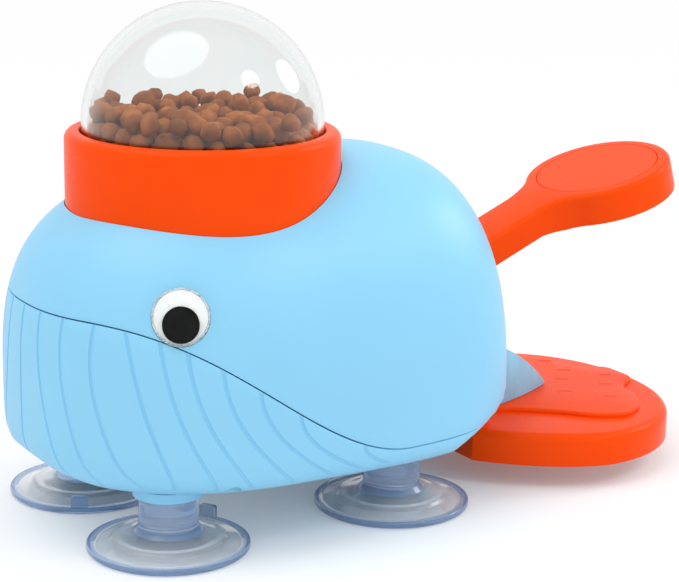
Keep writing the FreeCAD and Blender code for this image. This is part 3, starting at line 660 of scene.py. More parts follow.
belly = make_piece("belly_shell_skin", body_skin(-1), sky_blue_abs)
wall_up(belly)
cup_seat_top = cup_seat_height + cup_seat_thick
added = [
    round_tool(cup_seat_radius, cup_seat_height, cup_seat_top, centre)
    for centre in cup_places.values()
]
screw_seats = [*shell_screw_places, *((x, y, cradle_screw_seat) for x, y in cradle_screw_places)]
belly_tools = [lip_tool()]
for side in sides.values():
    for x, y, seat in screw_seats:
        belly_tools.append(round_tool(screw_bore, belly_height - 8, seat, (x, side * y), 32))
    x, y = cradle_screw_places[1]
    added.append(round_tool(leg_boss_radius, leg_boss_foot, leg_boss_top, (x, side * y), 64))
carve(belly, added, "UNION")
carve(belly, belly_tools)

pleats = []
for side in sides.values():
    pleats += [side_pleat(from_nose, side) for from_nose in side_pleats_from_nose]
    pleats += [front_pleat(across, side) for across in front_pleats_across if across or side > 0]
for line in pleats:
    carve(belly, [groove_tool(line)])
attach(belly, "root")
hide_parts("belly_shell")


# Hopper collar
# Orange ABS ring that stands in the body's pocket and carries the dome on a ledge. It
# is moulded with a round outer rim, and looks a little glossier than the body.
orange = "#F94D07"
orange_deep = "#F34703"
collar_radius = 51.3
collar_top = 146.6
collar_ledge = 139.5
collar_roof = 3.5
dome_seat = 45.6

# Glossier than the body and deeply coloured, with a weak veil of reflected light
bright_orange_abs = satin_plastic("bright_orange_abs", orange, orange_deep, 0.3, 1.16, 0.003)


def turned(profile, place, steps):
    # A closed profile of (radius, height, rounding) spun about an upright axis
    bm = bmesh.new()
    corners = [bm.verts.new((r * mm, 0, z * mm)) for r, z, soft in profile]
    for first, second in zip(corners, corners[1:] + corners[:1]):
        bm.edges.new((first, second))
    for corner, (r, z, soft) in zip(corners, profile):
        if soft > 0:
            bmesh.ops.bevel(
                bm, geom=[corner], offset=soft * mm, segments=5, profile=0.5,
                affect="VERTICES", material=-1,
            )
    bmesh.ops.spin(
        bm, geom=bm.verts[:] + bm.edges[:], cent=(0, 0, 0), axis=(0, 0, 1),
        angle=2 * math.pi, steps=steps, use_merge=True, use_duplicate=False,
    )
    bmesh.ops.remove_doubles(bm, verts=bm.verts, dist=1e-7)
    bmesh.ops.recalc_face_normals(bm, faces=bm.faces)
    bmesh.ops.translate(bm, verts=bm.verts, vec=Vector(place) * mm)
    return bm


collar = make_piece("collar_ring", turned([
    (collar_radius, collar_seat, 0.0),
    (collar_radius, collar_top, 3.2),
    (dome_seat, collar_top, 0.6),
    (dome_seat, collar_ledge, 0.0),
    (collar_bore, collar_ledge, 0.3),
    (collar_bore, collar_seat, 0.0),
    (collar_bore + shell_wall, collar_seat, 0.0),
    (collar_bore + shell_wall, collar_ledge - collar_roof, 0.0),
    (collar_radius - shell_wall, collar_ledge - collar_roof, 0.0),
    (collar_radius - shell_wall, collar_seat, 0.0),
], (collar_place, 0, 0), 192), bright_orange_abs)
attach(collar, "root")
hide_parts("hopper_collar")


# Dome lid
# Clear polystyrene dome, blown thin and polished, that drops into the collar and
# lifts off to fill the hopper.
dome_radius = 45.0
dome_wall = 2.2
dome_middle = 148.7
dome_steps = 40
dome_gap = 0.3
flow_ripple = 22


def clear_plastic(name, tint, roughness, refraction):
    # Clear moulding: it lets the light through to what is behind it, so it throws
    # next to no shadow. A faint ripple from moulding bends its highlights
    material, tree, place = new_material(name)
    flow = add_node(tree, "TexNoise", {
        "Scale": 1 / (flow_ripple * mm),
        "Detail": 1.0,
    }, {"Vector": place})
    ripple = add_node(tree, "Bump", {"Strength": 0.2, "Distance": 0.05 * mm}, {
        "Height": flow.outputs["Fac"],
    })
    surface = add_node(tree, "BsdfPrincipled", {
        "Base Color": paint(tint),
        "Roughness": roughness,
        "IOR": refraction,
        "Transmission Weight": 1.0,
    }, {"Normal": ripple.outputs["Normal"]})
    through = add_node(tree, "BsdfTransparent", {"Color": paint(tint)}, {})
    path = add_node(tree, "LightPath", {}, {})
    mix = add_node(tree, "MixShader", {}, {
        0: path.outputs["Is Shadow Ray"],
        1: surface.outputs[0],
        2: through.outputs[0],
    })
    add_node(tree, "OutputMaterial", {}, {"Surface": mix.outputs[0]})
    return material


# All but colourless, with sharp highlights and a thin grey line round its edge
clear_polystyrene = clear_plastic("clear_polystyrene", "#F7FAFA", 0.02, 1.46)


def dome_line(radius):
    # One side of the dome's wall: upright at the foot, then a quarter circle
    line = [(radius, collar_ledge + dome_gap, 0.0)]
    for k in range(dome_steps + 1):
        angle = math.pi / 2 * k / dome_steps
        line.append((radius * math.cos(angle), dome_middle + radius * math.sin(angle), 0.0))
    line[-1] = (0.0, dome_middle + radius, 0.0)
    return line


dome_profile = dome_line(dome_radius) + dome_line(dome_radius - dome_wall)[::-1]
dome = make_piece("clear_dome", turned(dome_profile, (collar_place, 0, 0), 144), clear_polystyrene)
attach(dome, "dome")
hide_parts("dome_lid")


# Dry food
# The hopper's load, which is no piece of the feeder: lumpy baked pellets about 8 mm
# across, poured in and heaped up under the dome.
kibble_browns = ("#713A10", "#94501E", "#B0662D")
kibble_radius = (3.3, 4.5)
kibble_count = 340
kibble_low = 130.0
kibble_top = 159.5
kibble_pit = 2.2
kibble_toast = 9
kibble_lump = 3.0
lump_height = 0.34
settle_rounds = 60
settle_step = 0.12
pellet_overlap = 0.97
dome_clear = 0.6


def colour_stops(ramp, stops):
    # Colours along a ramp, each given with its place
    for element, (place, colour) in zip(ramp.elements, (stops[0], stops[-1])):
        element.position = place
        element.color = paint(colour)
    for place, colour in stops[1:-1]:
        ramp.elements.new(place).color = paint(colour)


# Baked dough: a dull pitted crust, toasted from golden to dark brown in patches
baked_kibble, tree, place = new_material("baked_kibble")
crust = add_node(tree, "TexNoise", {
    "Scale": 1 / (kibble_pit * mm),
    "Detail": 4.0,
}, {"Vector": place})
toast = add_node(tree, "TexNoise", {
    "Scale": 1 / (kibble_toast * mm),
    "Detail": 2.0,
}, {"Vector": place})
browns = add_node(tree, "ValToRGB", {}, {"Fac": toast.outputs["Fac"]})
colour_stops(browns.color_ramp, list(zip((0.3, 0.5, 0.7), kibble_browns)))
pits = add_node(tree, "Bump", {
    "Strength": 0.8,
    "Distance": 0.5 * mm,
}, {"Height": crust.outputs["Fac"]})
surface = add_node(tree, "BsdfPrincipled", {"Roughness": 0.7, "IOR": 1.3}, {
    "Base Color": browns.outputs["Color"],
    "Normal": pits.outputs["Normal"],
})
add_node(tree, "OutputMaterial", {}, {"Surface": surface.outputs[0]})


def heap_limit(p, radius):
    # Keeps a pellet inside the bore and the dome, and under the heap's top
    reach = math.hypot(p.x, p.y)
    rise = max(0.0, p.z - dome_middle)
    if p.z < collar_ledge:
        bound = collar_bore - radius
    else:
        inside = dome_radius - dome_wall - radius - dome_clear
        bound = math.sqrt(max(1.0, inside ** 2 - rise ** 2))
    if reach > bound:
        p.x *= bound / reach
        p.y *= bound / reach
    p.z = min(max(p.z, kibble_low + radius), kibble_top - radius)


rng = random.Random(11)
pellets = []
for k in range(kibble_count):
    radius = rng.uniform(*kibble_radius)
    bearing = rng.uniform(0, 2 * math.pi)
    away = collar_bore * math.sqrt(rng.random())
    height = rng.uniform(kibble_low, kibble_top)
    start = Vector((away * math.cos(bearing), away * math.sin(bearing), height))
    pellets.append([start, radius])
for step in range(settle_rounds):
    for i, (p, radius) in enumerate(pellets):
        for q, other in pellets[:i]:
            gap = p - q
            room = (radius + other) * pellet_overlap
            if abs(gap.x) < room and abs(gap.y) < room and gap.length < room:
                push = gap.normalized() * (room - gap.length) / 2
                p += push
                q -= push
    for p, radius in pellets:
        p.z -= settle_step
        heap_limit(p, radius)

bm = bmesh.new()
for p, radius in pellets:
    spin = Matrix.Rotation(rng.uniform(0, 6.28), 4, Vector((rng.random(), rng.random(), 0.5)))
    squat = (rng.uniform(0.92, 1.08), rng.uniform(0.92, 1.08), rng.uniform(0.86, 1.0), 1.0)
    centre = Matrix.Translation((p + Vector((collar_place, 0, 0))) * mm)
    made = bmesh.ops.create_icosphere(
        bm, subdivisions=2, radius=radius * mm, matrix=centre @ spin @ Matrix.Diagonal(squat)
    )
    heart = centre.translation
    for vert in made["verts"]:
        lump = noise.noise(vert.co / (kibble_lump * mm)) * lump_height
        vert.co = heart + (vert.co - heart) * (1 + lump)
kibble = make_piece("kibble_heap", bm, baked_kibble)
for edge in kibble.data.edges:
    edge.use_edge_sharp = False
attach(kibble, "root")


# Press lever
# One orange ABS moulding: a round paddle that the pet presses, and the arm that
# carries it into the body, where it turns on its hub and works the gate. It is a
# skin over a hollow underside, with a fine ring cut round the paddle's pad.
paddle_radius = 30.7
paddle_tilt = math.radians(16.0)
paddle_place = Vector((113.6, 0.0, 116.0))
paddle_deep = 13.5
paddle_edge = 2.2
paddle_pad = 25.6
lever_skin = 2.6
arm_half = 12.0
arm_deep = 11.5
arm_blend = 24.0
hub_radius = 7.5
gate_radius = 58.4
beam_half = 5.0
knee_soft = 5.0
pad_ring_half = 0.5
pad_ring_deep = 0.6

hub_x, hub_z = pivot.x - paddle_place.x, pivot.z - paddle_place.z
hub_in_paddle = Vector((
    hub_x * math.cos(paddle_tilt) + hub_z * math.sin(paddle_tilt),
    hub_z * math.cos(paddle_tilt) - hub_x * math.sin(paddle_tilt),
))
blend_side = arm_half + arm_blend
blend_back = -math.sqrt((paddle_radius + arm_blend) ** 2 - blend_side ** 2)
touch = math.atan2(blend_side, blend_back)
arm_slope = (hub_in_paddle.y + arm_deep / 2) / (hub_in_paddle.x + paddle_radius)


def lever_plan(arm_end):
    # Plan of the lever: along the arm, round the blend, round the paddle, and back
    line = [(arm_end, arm_half)]
    swing = touch - math.pi
    for k in range(11):
        angle = -math.pi / 2 + (swing + math.pi / 2) * k / 10
        u = blend_back + arm_blend * math.cos(angle)
        line.append((u, blend_side + arm_blend * math.sin(angle)))
    for k in range(1, 49):
        angle = touch * (1 - k / 48)
        line.append((paddle_radius * math.cos(angle), paddle_radius * math.sin(angle)))
    return line + [(u, -v) for u, v in reversed(line[:-1])]


def arm_drop(u):
    # How far the arm's top lies below the paddle's plane, with a soft knee
    past = -paddle_radius - u
    if past <= -knee_soft:
        return 0.0
    if past < knee_soft:
        return arm_slope * (past + knee_soft) ** 2 / (4 * knee_soft)
    return arm_slope * past


def edges_at(bm, height):
    # The edges that lie flat at one height
    return [e for e in bm.edges if all(abs(v.co.z - height * mm) < 1e-6 for v in e.verts)]


def to_paddle(bm):
    # From the paddle's own frame to its place on the feeder
    for vert in bm.verts:
        vert.co.z -= arm_drop(vert.co.x / mm) * mm
    tilt = Matrix.Rotation(-paddle_tilt, 3, "Y")
    bmesh.ops.rotate(bm, verts=bm.verts, matrix=tilt)
    bmesh.ops.translate(bm, verts=bm.verts, vec=paddle_place * mm)


bm = prism(lever_plan(hub_in_paddle.x + 2), -paddle_deep, 0.0)
soften(bm, edges_at(bm, 0.0), paddle_edge, 5)
for k in range(9):
    station = -paddle_radius - knee_soft + 2 * knee_soft * k / 8
    bmesh.ops.bisect_plane(
        bm, geom=bm.verts[:] + bm.edges[:] + bm.faces[:], dist=1e-6,
        plane_co=(station * mm, 0, 0), plane_no=(1, 0, 0),
    )
under = [f for f in bm.faces if f.normal.z < -0.9]
bmesh.ops.inset_region(
    bm, faces=under, thickness=lever_skin * mm, use_even_offset=True, use_boundary=True
)
grown = bmesh.ops.extrude_face_region(bm, geom=under)
roof = [item for item in grown["geom"] if isinstance(item, bmesh.types.BMVert)]
bmesh.ops.translate(bm, verts=roof, vec=(0, 0, (paddle_deep - lever_skin) * mm))
bmesh.ops.delete(bm, geom=under, context="FACES")
for vert in bm.verts:
    if vert.co.z < (lever_skin - paddle_deep) * mm:
        share = (vert.co.x / mm + paddle_radius) / (blend_back + paddle_radius)
        vert.co.z += (paddle_deep - arm_deep) * mm * min(1.0, max(0.0, share))
to_paddle(bm)
lever = make_piece("paddle_and_arm", bm, bright_orange_abs)
hub = round_tool(hub_radius, -arm_half, arm_half, (0, 0))
hub.data.transform(Matrix.Translation(pivot * mm) @ Matrix.Rotation(math.pi / 2, 4, "X"))
beam_foot = (pivot.x - gate_radius, -beam_half, pivot.z - beam_half)
beam = box_tool(beam_foot, (pivot.x, beam_half, pivot.z + beam_half), 0.8)
carve(lever, [hub, beam], "UNION")
bm = turned([
    (paddle_pad - pad_ring_half, pad_ring_half, 0.0),
    (paddle_pad + pad_ring_half, pad_ring_half, 0.0),
    (paddle_pad, -pad_ring_deep, 0.0),
], (0, 0, 0), 144)
to_paddle(bm)
carve(lever, [make_piece("tool", bm)])
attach(lever, "lever")
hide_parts("press_lever")


# Food tray
# Orange ABS tray that catches the food. A raised plate in the form of a tail fluke
# lies on a lower, rounded shoulder. It has a few short notches, and the underside
# is hollow. Two posts under the spout's sides hold it to the body.
tray_front = nose + 178.0
tray_widest = nose + 225.6
tray_rear = nose + 282.6
tray_bow = 61.4
tray_half = 64.0
tray_front_power = 1.6
tray_rear_power = 2.1
tray_top = 24.2
tray_low = 9.4
tray_skin = 2.6
tray_edge = 3.6
tray_foot_soft = 0.7
shoulder_drop = 1.7
plate_soft = 1.1
plate_line = (
    (34.0, 12.0), (55.9, 19.7), (72.3, 31.8), (83.5, 43.6), (94.5, 48.7), (104.0, 45.4),
    (110.8, 38.7), (116.2, 28.8), (119.7, 17.6), (125.9, 12.6), (131.0, 8.0), (131.6, 0.0),
)
plate_steps = 6
post_radius = 4.5
post_places = ((38.2, -26.0), (38.2, 26.0))
post_seat = 15.4
post_lap = 0.6
notch_places = (
    (112.2, 28.6), (110.9, 13.1), (101.7, 2.4), (92.3, -12.7),
    (122.0, -1.7), (113.4, -12.5), (104.3, -27.4),
)
notch_turn = math.radians(31.42)
notch_long = 5.6
notch_wide = 0.9
notch_deep = 0.45


def tray_outline(inset):
    # Plan of the tray, broad at the middle and cut straight under the body's tail
    front, rear = tray_front + inset, tray_rear - inset
    half, bow = tray_half - inset, tray_bow - inset
    bend = 2 / tray_front_power
    start = math.asin(((tray_widest - front) / bow) ** (1 / bend))
    line = []
    for k in range(28):
        angle = start * (1 - k / 28)
        x = tray_widest - bow * math.sin(angle) ** bend
        line.append((x, half * math.cos(angle) ** bend))
    bend = 2 / tray_rear_power
    for k in range(72):
        angle = math.pi / 2 * k / 72
        x = tray_widest + (rear - tray_widest) * math.sin(angle) ** bend
        line.append((x, half * math.cos(angle) ** bend))
    line.append((rear, 0.0))
    return line + [(x, -y) for x, y in reversed(line[:-1])]


def plate_outline():
    # A smooth line through the fluke's corners, mirrored to the other side
    line = []
    ends = [plate_line[0], *plate_line, plate_line[-1]]
    for before, start, end, after in zip(ends, ends[1:], ends[2:], ends[3:]):
        for k in range(plate_steps):
            t = k / plate_steps
            line.append(tuple(
                b + 0.5 * t * (c - a + t * (2 * a - 5 * b + 4 * c - d + t * (3 * (b - c) + d - a)))
                for a, b, c, d in zip(before, start, end, after)
            ))
    line.append(plate_line[-1])
    return line + [(x, -y) for x, y in reversed(line[:-1])]


def body_underside(x, y):
    # Height of the belly over one place
    half, middle, rise, depth = body_station(x)
    return middle - depth * falloff(y / half, lower_power)


shoulder = tray_top - shoulder_drop
bm = prism(tray_outline(0), tray_low, shoulder)
soften(bm, edges_at(bm, shoulder), tray_edge, 7)
soften(bm, edges_at(bm, tray_low), tray_foot_soft, 3)
tray = make_piece("tray_moulding", bm, bright_orange_abs)
bm = prism(plate_outline(), shoulder - 1, tray_top)
soften(bm, edges_at(bm, tray_top), plate_soft, 4)
carve(tray, [make_piece("tool", bm)], "UNION")
hollow = make_piece("tool", prism(tray_outline(tray_skin), tray_low - 1, shoulder - tray_skin))
notches = []
for x, y in notch_places:
    foot = (-notch_long / 2, -notch_wide / 2, tray_top - notch_deep)
    tool = box_tool(foot, (notch_long / 2, notch_wide / 2, tray_top + 2), 0.2)
    set_down = Matrix.Translation(Vector((x, y, 0)) * mm)
    tool.data.transform(set_down @ Matrix.Rotation(-notch_turn, 4, "Z"))
    notches.append(tool)
carve(tray, [hollow, *notches])
carve(tray, [
    round_tool(post_radius, tray_low, body_underside(*place) + post_lap, place, 64)
    for place in post_places
], "UNION")
carve(tray, [round_tool(screw_bore, tray_low - 1, post_seat, place, 32) for place in post_places])
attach(tray, "root")
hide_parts("food_tray")


# Discharge chute
# Sky blue ABS channel from the gate down through the tail. Its end stands out over
# the tray as a pointed spout, whose upper edge falls in a long curve to the tip.
chute_half = 18.0
chute_wall = 2.0
chute_side = 14.0
chute_head = pivot.x - 59.8
chute_lap = chute_head - 3.0
chute_side_start = pivot.x - 56.9
chute_step = 2.7
chute_head_height = 63.4
chute_foot_height = 26.9
chute_toe = 6.0
chute_soft = 0.35
brow_start = lip_root + 14.0
brow_middle = (lip_root + 32.0, lip_top - 9.5)
spout_floor = lip_low + 1.8


def chute_floor(x):
    # Height of the slope that the food runs down
    share = (max(x, chute_head) - chute_head) / (lip_root - chute_head)
    return chute_head_height + (chute_foot_height - chute_head_height) * share


def side_form(outline, half):
    # An outline drawn from the side, as (x, z), carried out to both sides
    bm = prism(outline, -half, half)
    upright = Matrix.Rotation(math.pi / 2, 3, "X")
    bmesh.ops.rotate(bm, verts=bm.verts, matrix=upright)
    bmesh.ops.recalc_face_normals(bm, faces=bm.faces)
    return bm


chute = make_piece("chute_and_spout", side_form([
    (chute_head, chute_floor(chute_head) - chute_wall),
    (chute_lap, chute_floor(chute_head) - chute_wall),
    (chute_lap, chute_floor(chute_head)),
    (chute_head, chute_floor(chute_head)),
    (chute_side_start, chute_floor(chute_side_start)),
    (chute_side_start, chute_floor(chute_side_start) + chute_side),
    (chute_step, chute_floor(chute_step) + chute_side),
    (chute_step, lip_top),
    (lip_root, lip_top),
    (lip_root, lip_low),
    (lip_root - chute_toe, lip_low),
], chute_half + chute_wall), sky_blue_abs)
spout = make_piece("tool", prism(lip_outline(0.0, lip_root - 2), lip_low, lip_top))
brow_line = arc_through((brow_start, lip_top), brow_middle, (lip_tip + 1, lip_low), 28)
brow = make_piece("tool", side_form(brow_line + [
    (lip_tip + 1, lip_low),
    (lip_tip + 40, lip_low),
    (lip_tip + 40, lip_top + 40),
    (brow_start, lip_top + 40),
], 60))
carve(spout, [brow])
carve(chute, [spout], "UNION")
channel = make_piece("tool", side_form([
    (chute_lap - 1, chute_floor(chute_lap)),
    (chute_head, chute_floor(chute_head)),
    (lip_root + 1, chute_foot_height),
    (lip_root + 1, lip_top + 5),
    (chute_lap - 1, lip_top + 40),
], chute_half))
basin = make_piece("tool", prism(lip_outline(-chute_wall, lip_root), spout_floor, lip_top + 6))
carve(chute, [channel, basin])
chute_edge = chute.modifiers.new("edge", "BEVEL")
chute_edge.width = chute_soft * mm
chute_edge.segments = 3
chute_edge.limit_method = "ANGLE"
chute_edge.angle_limit = edge_angle
settle(chute)
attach(chute, "root")
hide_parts("discharge_chute")


# Suction cups
# Four cups in clear soft PVC with a bluish cast, spun with a rolled rim and stepped
# rings. Each has a pull tab, and its knob snaps up into a ring in the belly.
cup_pvc_clear = "#FAFBFD"
cup_pvc_stem = "#DCE6F3"
cup_pvc_ring = "#A9C9F2"
cup_pvc_rim = "#93B3E2"
cup_stem = 11.0
cup_neck = 4.6
cup_knob = 7.2
cup_top = 21.0
cup_neck_top = 24.9
cup_knob_high = 5.0
cup_ripple = 6
tab_wide = 6.5
tab_low = 1.5
tab_high = 7.2
tab_inset = 0.6
tab_thick = 2.0
tab_turns = {"front_left": 32.0, "front_right": 240.0, "rear_left": 75.0, "rear_right": -75.0}

# Soft PVC: clear and glossy, bluest where it is thick, at its rim and round the stem
clear_pvc, tree, place = new_material("clear_soft_pvc")
reach = add_node(tree, "Attribute", {"attribute_name": "reach"}, {})
cast = add_node(tree, "ValToRGB", {}, {"Fac": reach.outputs["Fac"]})
colour_stops(cast.color_ramp, [
    (0.34, cup_pvc_stem), (0.38, cup_pvc_ring), (0.46, cup_pvc_clear),
    (0.9, cup_pvc_clear), (0.98, cup_pvc_rim),
])
flow = add_node(tree, "TexNoise", {
    "Scale": 1 / (cup_ripple * mm),
    "Detail": 2.0,
}, {"Vector": place})
ripple = add_node(tree, "Bump", {
    "Strength": 0.4,
    "Distance": 0.12 * mm,
}, {"Height": flow.outputs["Fac"]})
soft = add_node(tree, "BsdfPrincipled", {
    "Roughness": 0.1,
    "IOR": 1.5,
    "Transmission Weight": 0.72,
}, {"Base Color": cast.outputs["Color"], "Normal": ripple.outputs["Normal"]})
clear_way = add_node(tree, "BsdfTransparent", {}, {"Color": cast.outputs["Color"]})
path = add_node(tree, "LightPath", {}, {})
shade = add_node(tree, "Math", {
    "operation": "MULTIPLY",
    1: 0.85,
}, {0: path.outputs["Is Shadow Ray"]})
mix = add_node(tree, "MixShader", {}, {
    0: shade.outputs[0],
    1: soft.outputs[0],
    2: clear_way.outputs[0],
})
add_node(tree, "OutputMaterial", {}, {"Surface": mix.outputs[0]})

for name, centre in cup_places.items():
    bm = turned([
        (0.0, 3.4, 0.0),
        (cup_radius - 4.5, 0.0, 0.5),
        (cup_radius - 0.9, 0.0, 0.8),
        (cup_radius, 1.1, 0.4),
        (cup_radius, 2.9, 0.8),
        (cup_radius - 2.6, 3.0, 0.8),
        (cup_radius - 3.2, 2.5, 0.2),
        (cup_radius * 0.72, 4.0, 0.3),
        (cup_radius * 0.68, 5.2, 0.4),
        (cup_radius * 0.6, 5.4, 0.3),
        (cup_radius * 0.5, 6.4, 0.3),
        (cup_stem + 1.8, 6.9, 0.2),
        (cup_stem + 0.6, 8.4, 0.5),
        (cup_stem, 9.0, 0.3),
        (cup_stem, cup_top - 1.4, 0.3),
        (cup_stem + 0.7, cup_top - 1.0, 0.2),
        (cup_stem + 0.7, cup_top, 0.2),
        (cup_neck, cup_top, 0.0),
        (cup_neck, cup_neck_top, 0.0),
        (cup_knob, cup_neck_top, 0.3),
        (cup_knob - 1.6, cup_neck_top + cup_knob_high, 0.5),
        (0.0, cup_neck_top + cup_knob_high, 0.0),
    ], (0, 0, 0), 112)
    cup = make_piece("cup_" + name, bm, clear_pvc)
    tab_out = cup_radius - tab_inset
    tab_foot = (tab_out - tab_thick, -tab_wide / 2, tab_low)
    tab = box_tool(tab_foot, (tab_out, tab_wide / 2, tab_high), 0.8)
    tab.data.transform(Matrix.Rotation(math.radians(tab_turns[name]), 4, "Z"))
    carve(cup, [tab], "UNION")
    reach_layer = cup.data.attributes.new("reach", "FLOAT", "POINT")
    for vert, value in zip(cup.data.vertices, reach_layer.data):
        value.value = math.hypot(vert.co.x, vert.co.y) / (cup_radius * mm)
    cup.data.transform(Matrix.Translation(centre * mm))
    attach(cup, "root")
    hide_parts("suction_cup_" + name)


# Googly eyes
# A white polystyrene backing is glued in its recess and a clear acetate cap is closed
# over it. A black polystyrene disc lies loose between them and rolls.
eye_radius = 10.2
backing_thick = 1.5
cap_height = 4.2
cap_wall = 0.7
cap_side = 2.2
pupil_radius = 6.5
pupil_thick = 1.2
pupil_drop = 2.7
pupil_gap = 0.3
eye_white = "#E9EAEA"
pupil_black = "#050506"
scratch_spacing = 1.2


def plain_gloss(name, colour, roughness, refraction):
    # Glossy moulded plastic in one colour, with a trace of fine scratches, drawn
    # coarser than they are so that they show
    material, tree, place = new_material(name)
    wear = add_node(tree, "TexNoise", {
        "Scale": 1 / (scratch_spacing * mm),
        "Detail": 4.0,
    }, {"Vector": place})
    gloss = add_node(tree, "MapRange", {
        "To Min": roughness * 0.8,
        "To Max": roughness * 1.3,
    }, {"Value": wear.outputs["Fac"]})
    surface = add_node(tree, "BsdfPrincipled", {
        "Base Color": paint(colour),
        "IOR": refraction,
    }, {"Roughness": gloss.outputs["Result"]})
    add_node(tree, "OutputMaterial", {}, {"Surface": surface.outputs[0]})
    return material


# White and black, both glossy, under a cap that shows by its highlights alone
white_polystyrene = plain_gloss("white_polystyrene", eye_white, 0.3, 1.49)
black_polystyrene = plain_gloss("black_polystyrene", pupil_black, 0.16, 1.22)
clear_cap = clear_plastic("clear_acetate", "#FBFCFC", 0.03, 1.12)


def eye_part(name, profile, material, set_down):
    # A turned part of an eye, put in its place
    part = make_piece(name, turned(profile, (0, 0, 0), 96), material)
    part.data.transform(set_down)
    return part


for side, (centre, look) in eye_places.items():
    facing = look.to_track_quat("Z", "Y").to_matrix().to_4x4()
    seated = Matrix.Translation((centre - look * eye_sink) * mm) @ facing
    fall = (Vector((0, 0, -1)) + look * look.z).normalized() * pupil_drop
    backing = eye_part("backing_" + side, [
        (0.0, 0.0, 0.0),
        (eye_radius, 0.0, 0.0),
        (eye_radius, backing_thick, 0.3),
        (0.0, backing_thick, 0.0),
    ], white_polystyrene, seated)
    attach(backing, "root")
    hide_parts("eye_backing_" + side)
    inner = eye_radius - cap_wall
    cap = eye_part("cap_" + side, [
        (eye_radius, backing_thick, 0.0),
        (eye_radius, backing_thick + cap_side, 0.9),
        (eye_radius * 0.8, backing_thick + cap_height * 0.86, 1.4),
        (eye_radius * 0.4, backing_thick + cap_height, 1.6),
        (0.0, backing_thick + cap_height, 0.0),
        (0.0, backing_thick + cap_height - cap_wall, 0.0),
        (inner * 0.4, backing_thick + cap_height - cap_wall, 1.6),
        (inner * 0.8, backing_thick + cap_height * 0.86 - cap_wall, 1.4),
        (inner, backing_thick + cap_side - cap_wall / 2, 0.8),
        (inner, backing_thick, 0.0),
    ], clear_cap, seated)
    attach(cap, "root")
    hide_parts("eye_cover_" + side)
    disc_low = backing_thick + pupil_gap
    disc_high = disc_low + pupil_thick
    pupil = eye_part("pupil_disc_" + side, [
        (0.0, disc_low, 0.0),
        (pupil_radius, disc_low, 0.2),
        (pupil_radius, disc_high, 0.25),
        (0.0, disc_high, 0.0),
    ], black_polystyrene, Matrix.Translation(fall * mm) @ seated)
    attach(pupil, "pupil_" + side)
    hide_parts("eye_pupil_" + side)


# Return spring
# Compression spring coiled from steel wire. It stands on the cradle's deck, is pressed
# together as the paddle goes down, and lifts the arm again.
spring_place = Vector((pivot.x + 15.0, 0.0, 54.5))
spring_top = 69.4
spring_coil = 4.0
spring_wire = 0.55
spring_turns = 6
steps_per_turn = 40


def metal(name, colour, roughness, grain_mm):
    # Bare or plated metal, a little uneven in its polish
    material, tree, place = new_material(name)
    grain = add_node(tree, "TexNoise", {
        "Scale": 1 / (grain_mm * mm),
        "Detail": 4.0,
    }, {"Vector": place})
    polish = add_node(tree, "MapRange", {
        "To Min": roughness - 0.08,
        "To Max": roughness + 0.1,
    }, {"Value": grain.outputs["Fac"]})
    surface = add_node(tree, "BsdfPrincipled", {
        "Base Color": paint(colour),
        "Metallic": 1.0,
    }, {"Roughness": polish.outputs["Result"]})
    add_node(tree, "OutputMaterial", {}, {"Surface": surface.outputs[0]})
    return material


# Bright drawn wire for the spring and the clip, greyer zinc on the pin and the screws
spring_steel = metal("spring_steel", "#B4B6B8", 0.3, 0.4)
zinc_plate = metal("zinc_plated_steel", "#C3C4C0", 0.34, 0.8)

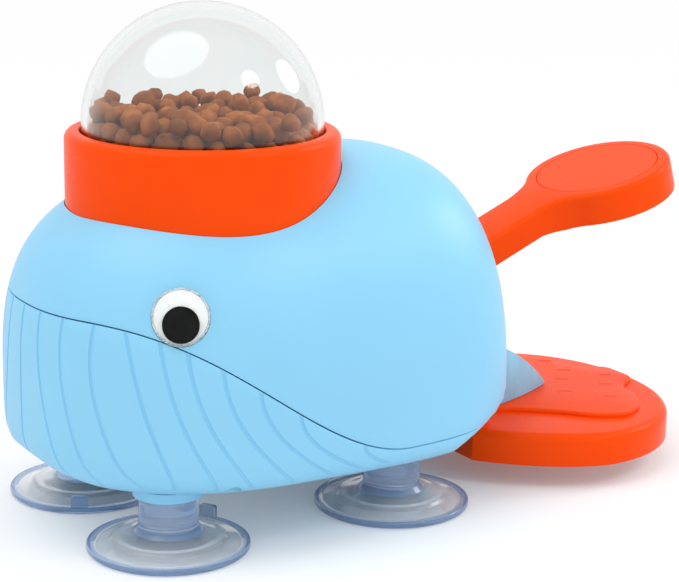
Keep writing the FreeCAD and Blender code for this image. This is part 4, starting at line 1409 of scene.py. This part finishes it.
bm = bmesh.new()
ring = bmesh.ops.create_circle(bm, cap_ends=False, segments=12, radius=spring_wire * mm)["verts"]
bmesh.ops.rotate(bm, verts=ring, matrix=Matrix.Rotation(math.pi / 2, 3, "X"))
bmesh.ops.translate(bm, verts=ring, vec=(spring_coil * mm, 0, spring_wire * mm))
spring_steps = spring_turns * steps_per_turn
rise = (spring_top - spring_place.z - 2 * spring_wire) / spring_steps
bmesh.ops.spin(
    bm, geom=bm.verts[:] + bm.edges[:], cent=(0, 0, 0), axis=(0, 0, 1), dvec=(0, 0, rise * mm),
    angle=2 * math.pi * spring_turns, steps=spring_steps, use_merge=False, use_duplicate=False,
)
bmesh.ops.holes_fill(bm, edges=[e for e in bm.edges if e.is_boundary], sides=12)
bmesh.ops.recalc_face_normals(bm, faces=bm.faces)
bmesh.ops.translate(bm, verts=bm.verts, vec=spring_place * mm)
spring = make_piece("lifting_spring", bm, spring_steel)
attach(spring, "root")
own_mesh(spring)
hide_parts("return_spring")


# Shell screws
# Four self tapping screws in zinc plated steel, with pan heads and cross recesses.
# They are sunk in the belly and draw the two shells together.
screw_head = 2.8
screw_head_high = 2.0
screw_shank = 1.5
screw_long = 12.0
recess_half = 1.6
recess_slot = 0.35
recess_deep = 0.9


def tapping_screw(x, y, seat):
    screw = make_piece("shell_screw", turned([
        (0.0, -screw_head_high, 0.0),
        (screw_head, -screw_head_high, 1.0),
        (screw_head, 0.0, 0.1),
        (screw_shank, 0.0, 0.0),
        (screw_shank, screw_long - 2.0, 0.2),
        (0.0, screw_long, 0.0),
    ], (0, 0, 0), 40), zinc_plate)
    low, high = -screw_head_high - 1, -screw_head_high + recess_deep
    carve(screw, [
        box_tool((-along, -across, low), (along, across, high), 0.1)
        for along, across in ((recess_half, recess_slot), (recess_slot, recess_half))
    ])
    screw.data.transform(Matrix.Translation(Vector((x, y, seat)) * mm))
    return screw


for x, y, seat in shell_screw_places:
    for side in sides.values():
        screw = tapping_screw(x, side * y, seat)
        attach(screw, "root")
        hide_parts("shell_screws")


# Hidden works
# Pieces that come over from the drawing as they are: funnel, gate, cradle, bushes,
# pin, clip and the other screws, each with its own finish.

# Milky white and waxy, for the bushes that the pin turns in
white_acetal = plain_gloss("white_acetal", "#EDECE6", 0.42, 1.48)
finishes = {
    "hopper_funnel": sky_blue_abs,
    "gate_plate": bright_orange_abs,
    "lever_cradle": sky_blue_abs,
    "pivot_bushes": white_acetal,
    "pivot_pin": zinc_plate,
    "pin_clip": spring_steel,
    "collar_screws": zinc_plate,
    "cradle_screws": zinc_plate,
    "tray_screws": zinc_plate,
}
for name, finish in finishes.items():
    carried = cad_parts[name]
    if not carried.material_slots:
        carried.data.materials.append(finish)
    for material_slot in carried.material_slots:
        material_slot.material = finish
